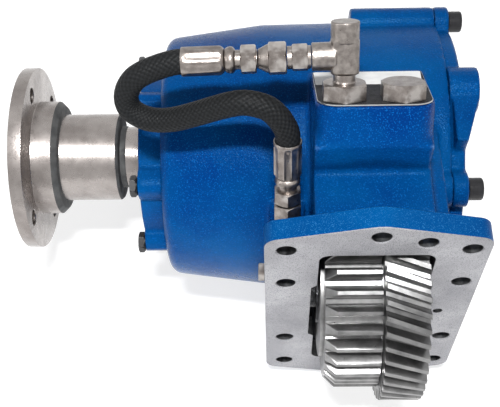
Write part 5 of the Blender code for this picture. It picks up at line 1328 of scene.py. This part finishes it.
housing_casting()
mounting_pad()
front_cap()
rear_cover()
spur_gear()
helical_gear()
companion_flange()
flange_nut()
cap_bolts()
cover_screws()
port_fittings()
tee_fitting()
hose()
label_plate()
return_spring()
gallery_plug()
rear_centre_plug()
dress_solids()


# Floor, light and background

def seen_share(tree):
    """1 for rays that show the background: straight, mirrored or through glass. 0 for the rest."""
    rays = node(tree, "LightPath").outputs
    seen = maths(tree, "MAXIMUM", rays["Is Camera Ray"], rays["Is Glossy Ray"])
    return maths(tree, "MAXIMUM", seen, rays["Is Transmission Ray"])


def stage_material():
    """White to the camera and in reflections, but still darkened by the object's shadow."""
    made, tree, shader = new_finish("floor")
    tree.nodes.remove(shader)
    matt = node(tree, "BsdfDiffuse", {"Color": (0.85, 0.85, 0.85, 1)}).outputs[0]
    pale = node(tree, "BsdfDiffuse", {"Color": (0.45, 0.45, 0.45, 1)}).outputs[0]
    glow = node(tree, "Emission", {"Color": (1, 1, 1, 1), "Strength": 0.66}).outputs[0]
    lit = node(tree, "AddShader", {0: pale, 1: glow}).outputs[0]
    mixed = node(tree, "MixShader", {0: seen_share(tree), 1: matt, 2: lit}).outputs[0]
    tree.links.new(mixed, tree.nodes["Material Output"].inputs["Surface"])
    return made


def add_floor():
    top = CAD_BOX[0][2] - FLOOR_DROP
    rings = [[(x * FLOOR_REACH, y * FLOOR_REACH, z) for x, y in ((-1, -1), (1, -1), (1, 1), (-1, 1))]
             for z in (top - FLOOR_THICKNESS, top)]
    made = show("floor", loft(rings))
    made.data.materials.append(stage_material())


def add_light(name, way, distance, size, power, mirrored=True):
    """A soft lamp that looks at the unit from the given direction."""
    data = bpy.data.lights.new(name, "AREA")
    data.shape = "RECTANGLE"
    data.size, data.size_y = size
    data.energy = power
    made = show(name, data)
    made.visible_glossy = mirrored
    made.location = LAMP_TARGET + Vector(way).normalized() * distance
    made.rotation_euler = (-Vector(way)).to_track_quat("-Z", "Y").to_euler()


def add_world():
    world = bpy.data.worlds.new("studio")
    world.use_nodes = True
    bpy.context.scene.world = world
    back = world.node_tree.nodes["Background"]
    back.inputs["Color"].default_value = (1, 1, 1, 1)
    strength = mapped(world.node_tree, seen_share(world.node_tree), (0.0, 1.0), (0.27, 1.0))
    world.node_tree.links.new(strength, back.inputs["Strength"])


add_floor()
add_light("key", (0.0, -0.30, 1.0), 1.5, (0.30, 0.08), 34)
add_light("front", (0.10, -1.0, 0.10), 1.4, (1.1, 0.3), 15, mirrored=False)
add_light("side", (-1.0, -0.2, 0.5), 1.6, (0.3, 0.9), 5)
add_light("back", (0.3, 1.0, -0.25), 1.6, (1.2, 0.6), 12, mirrored=False)
add_world()
bpy.context.scene.view_settings.view_transform = "Standard"
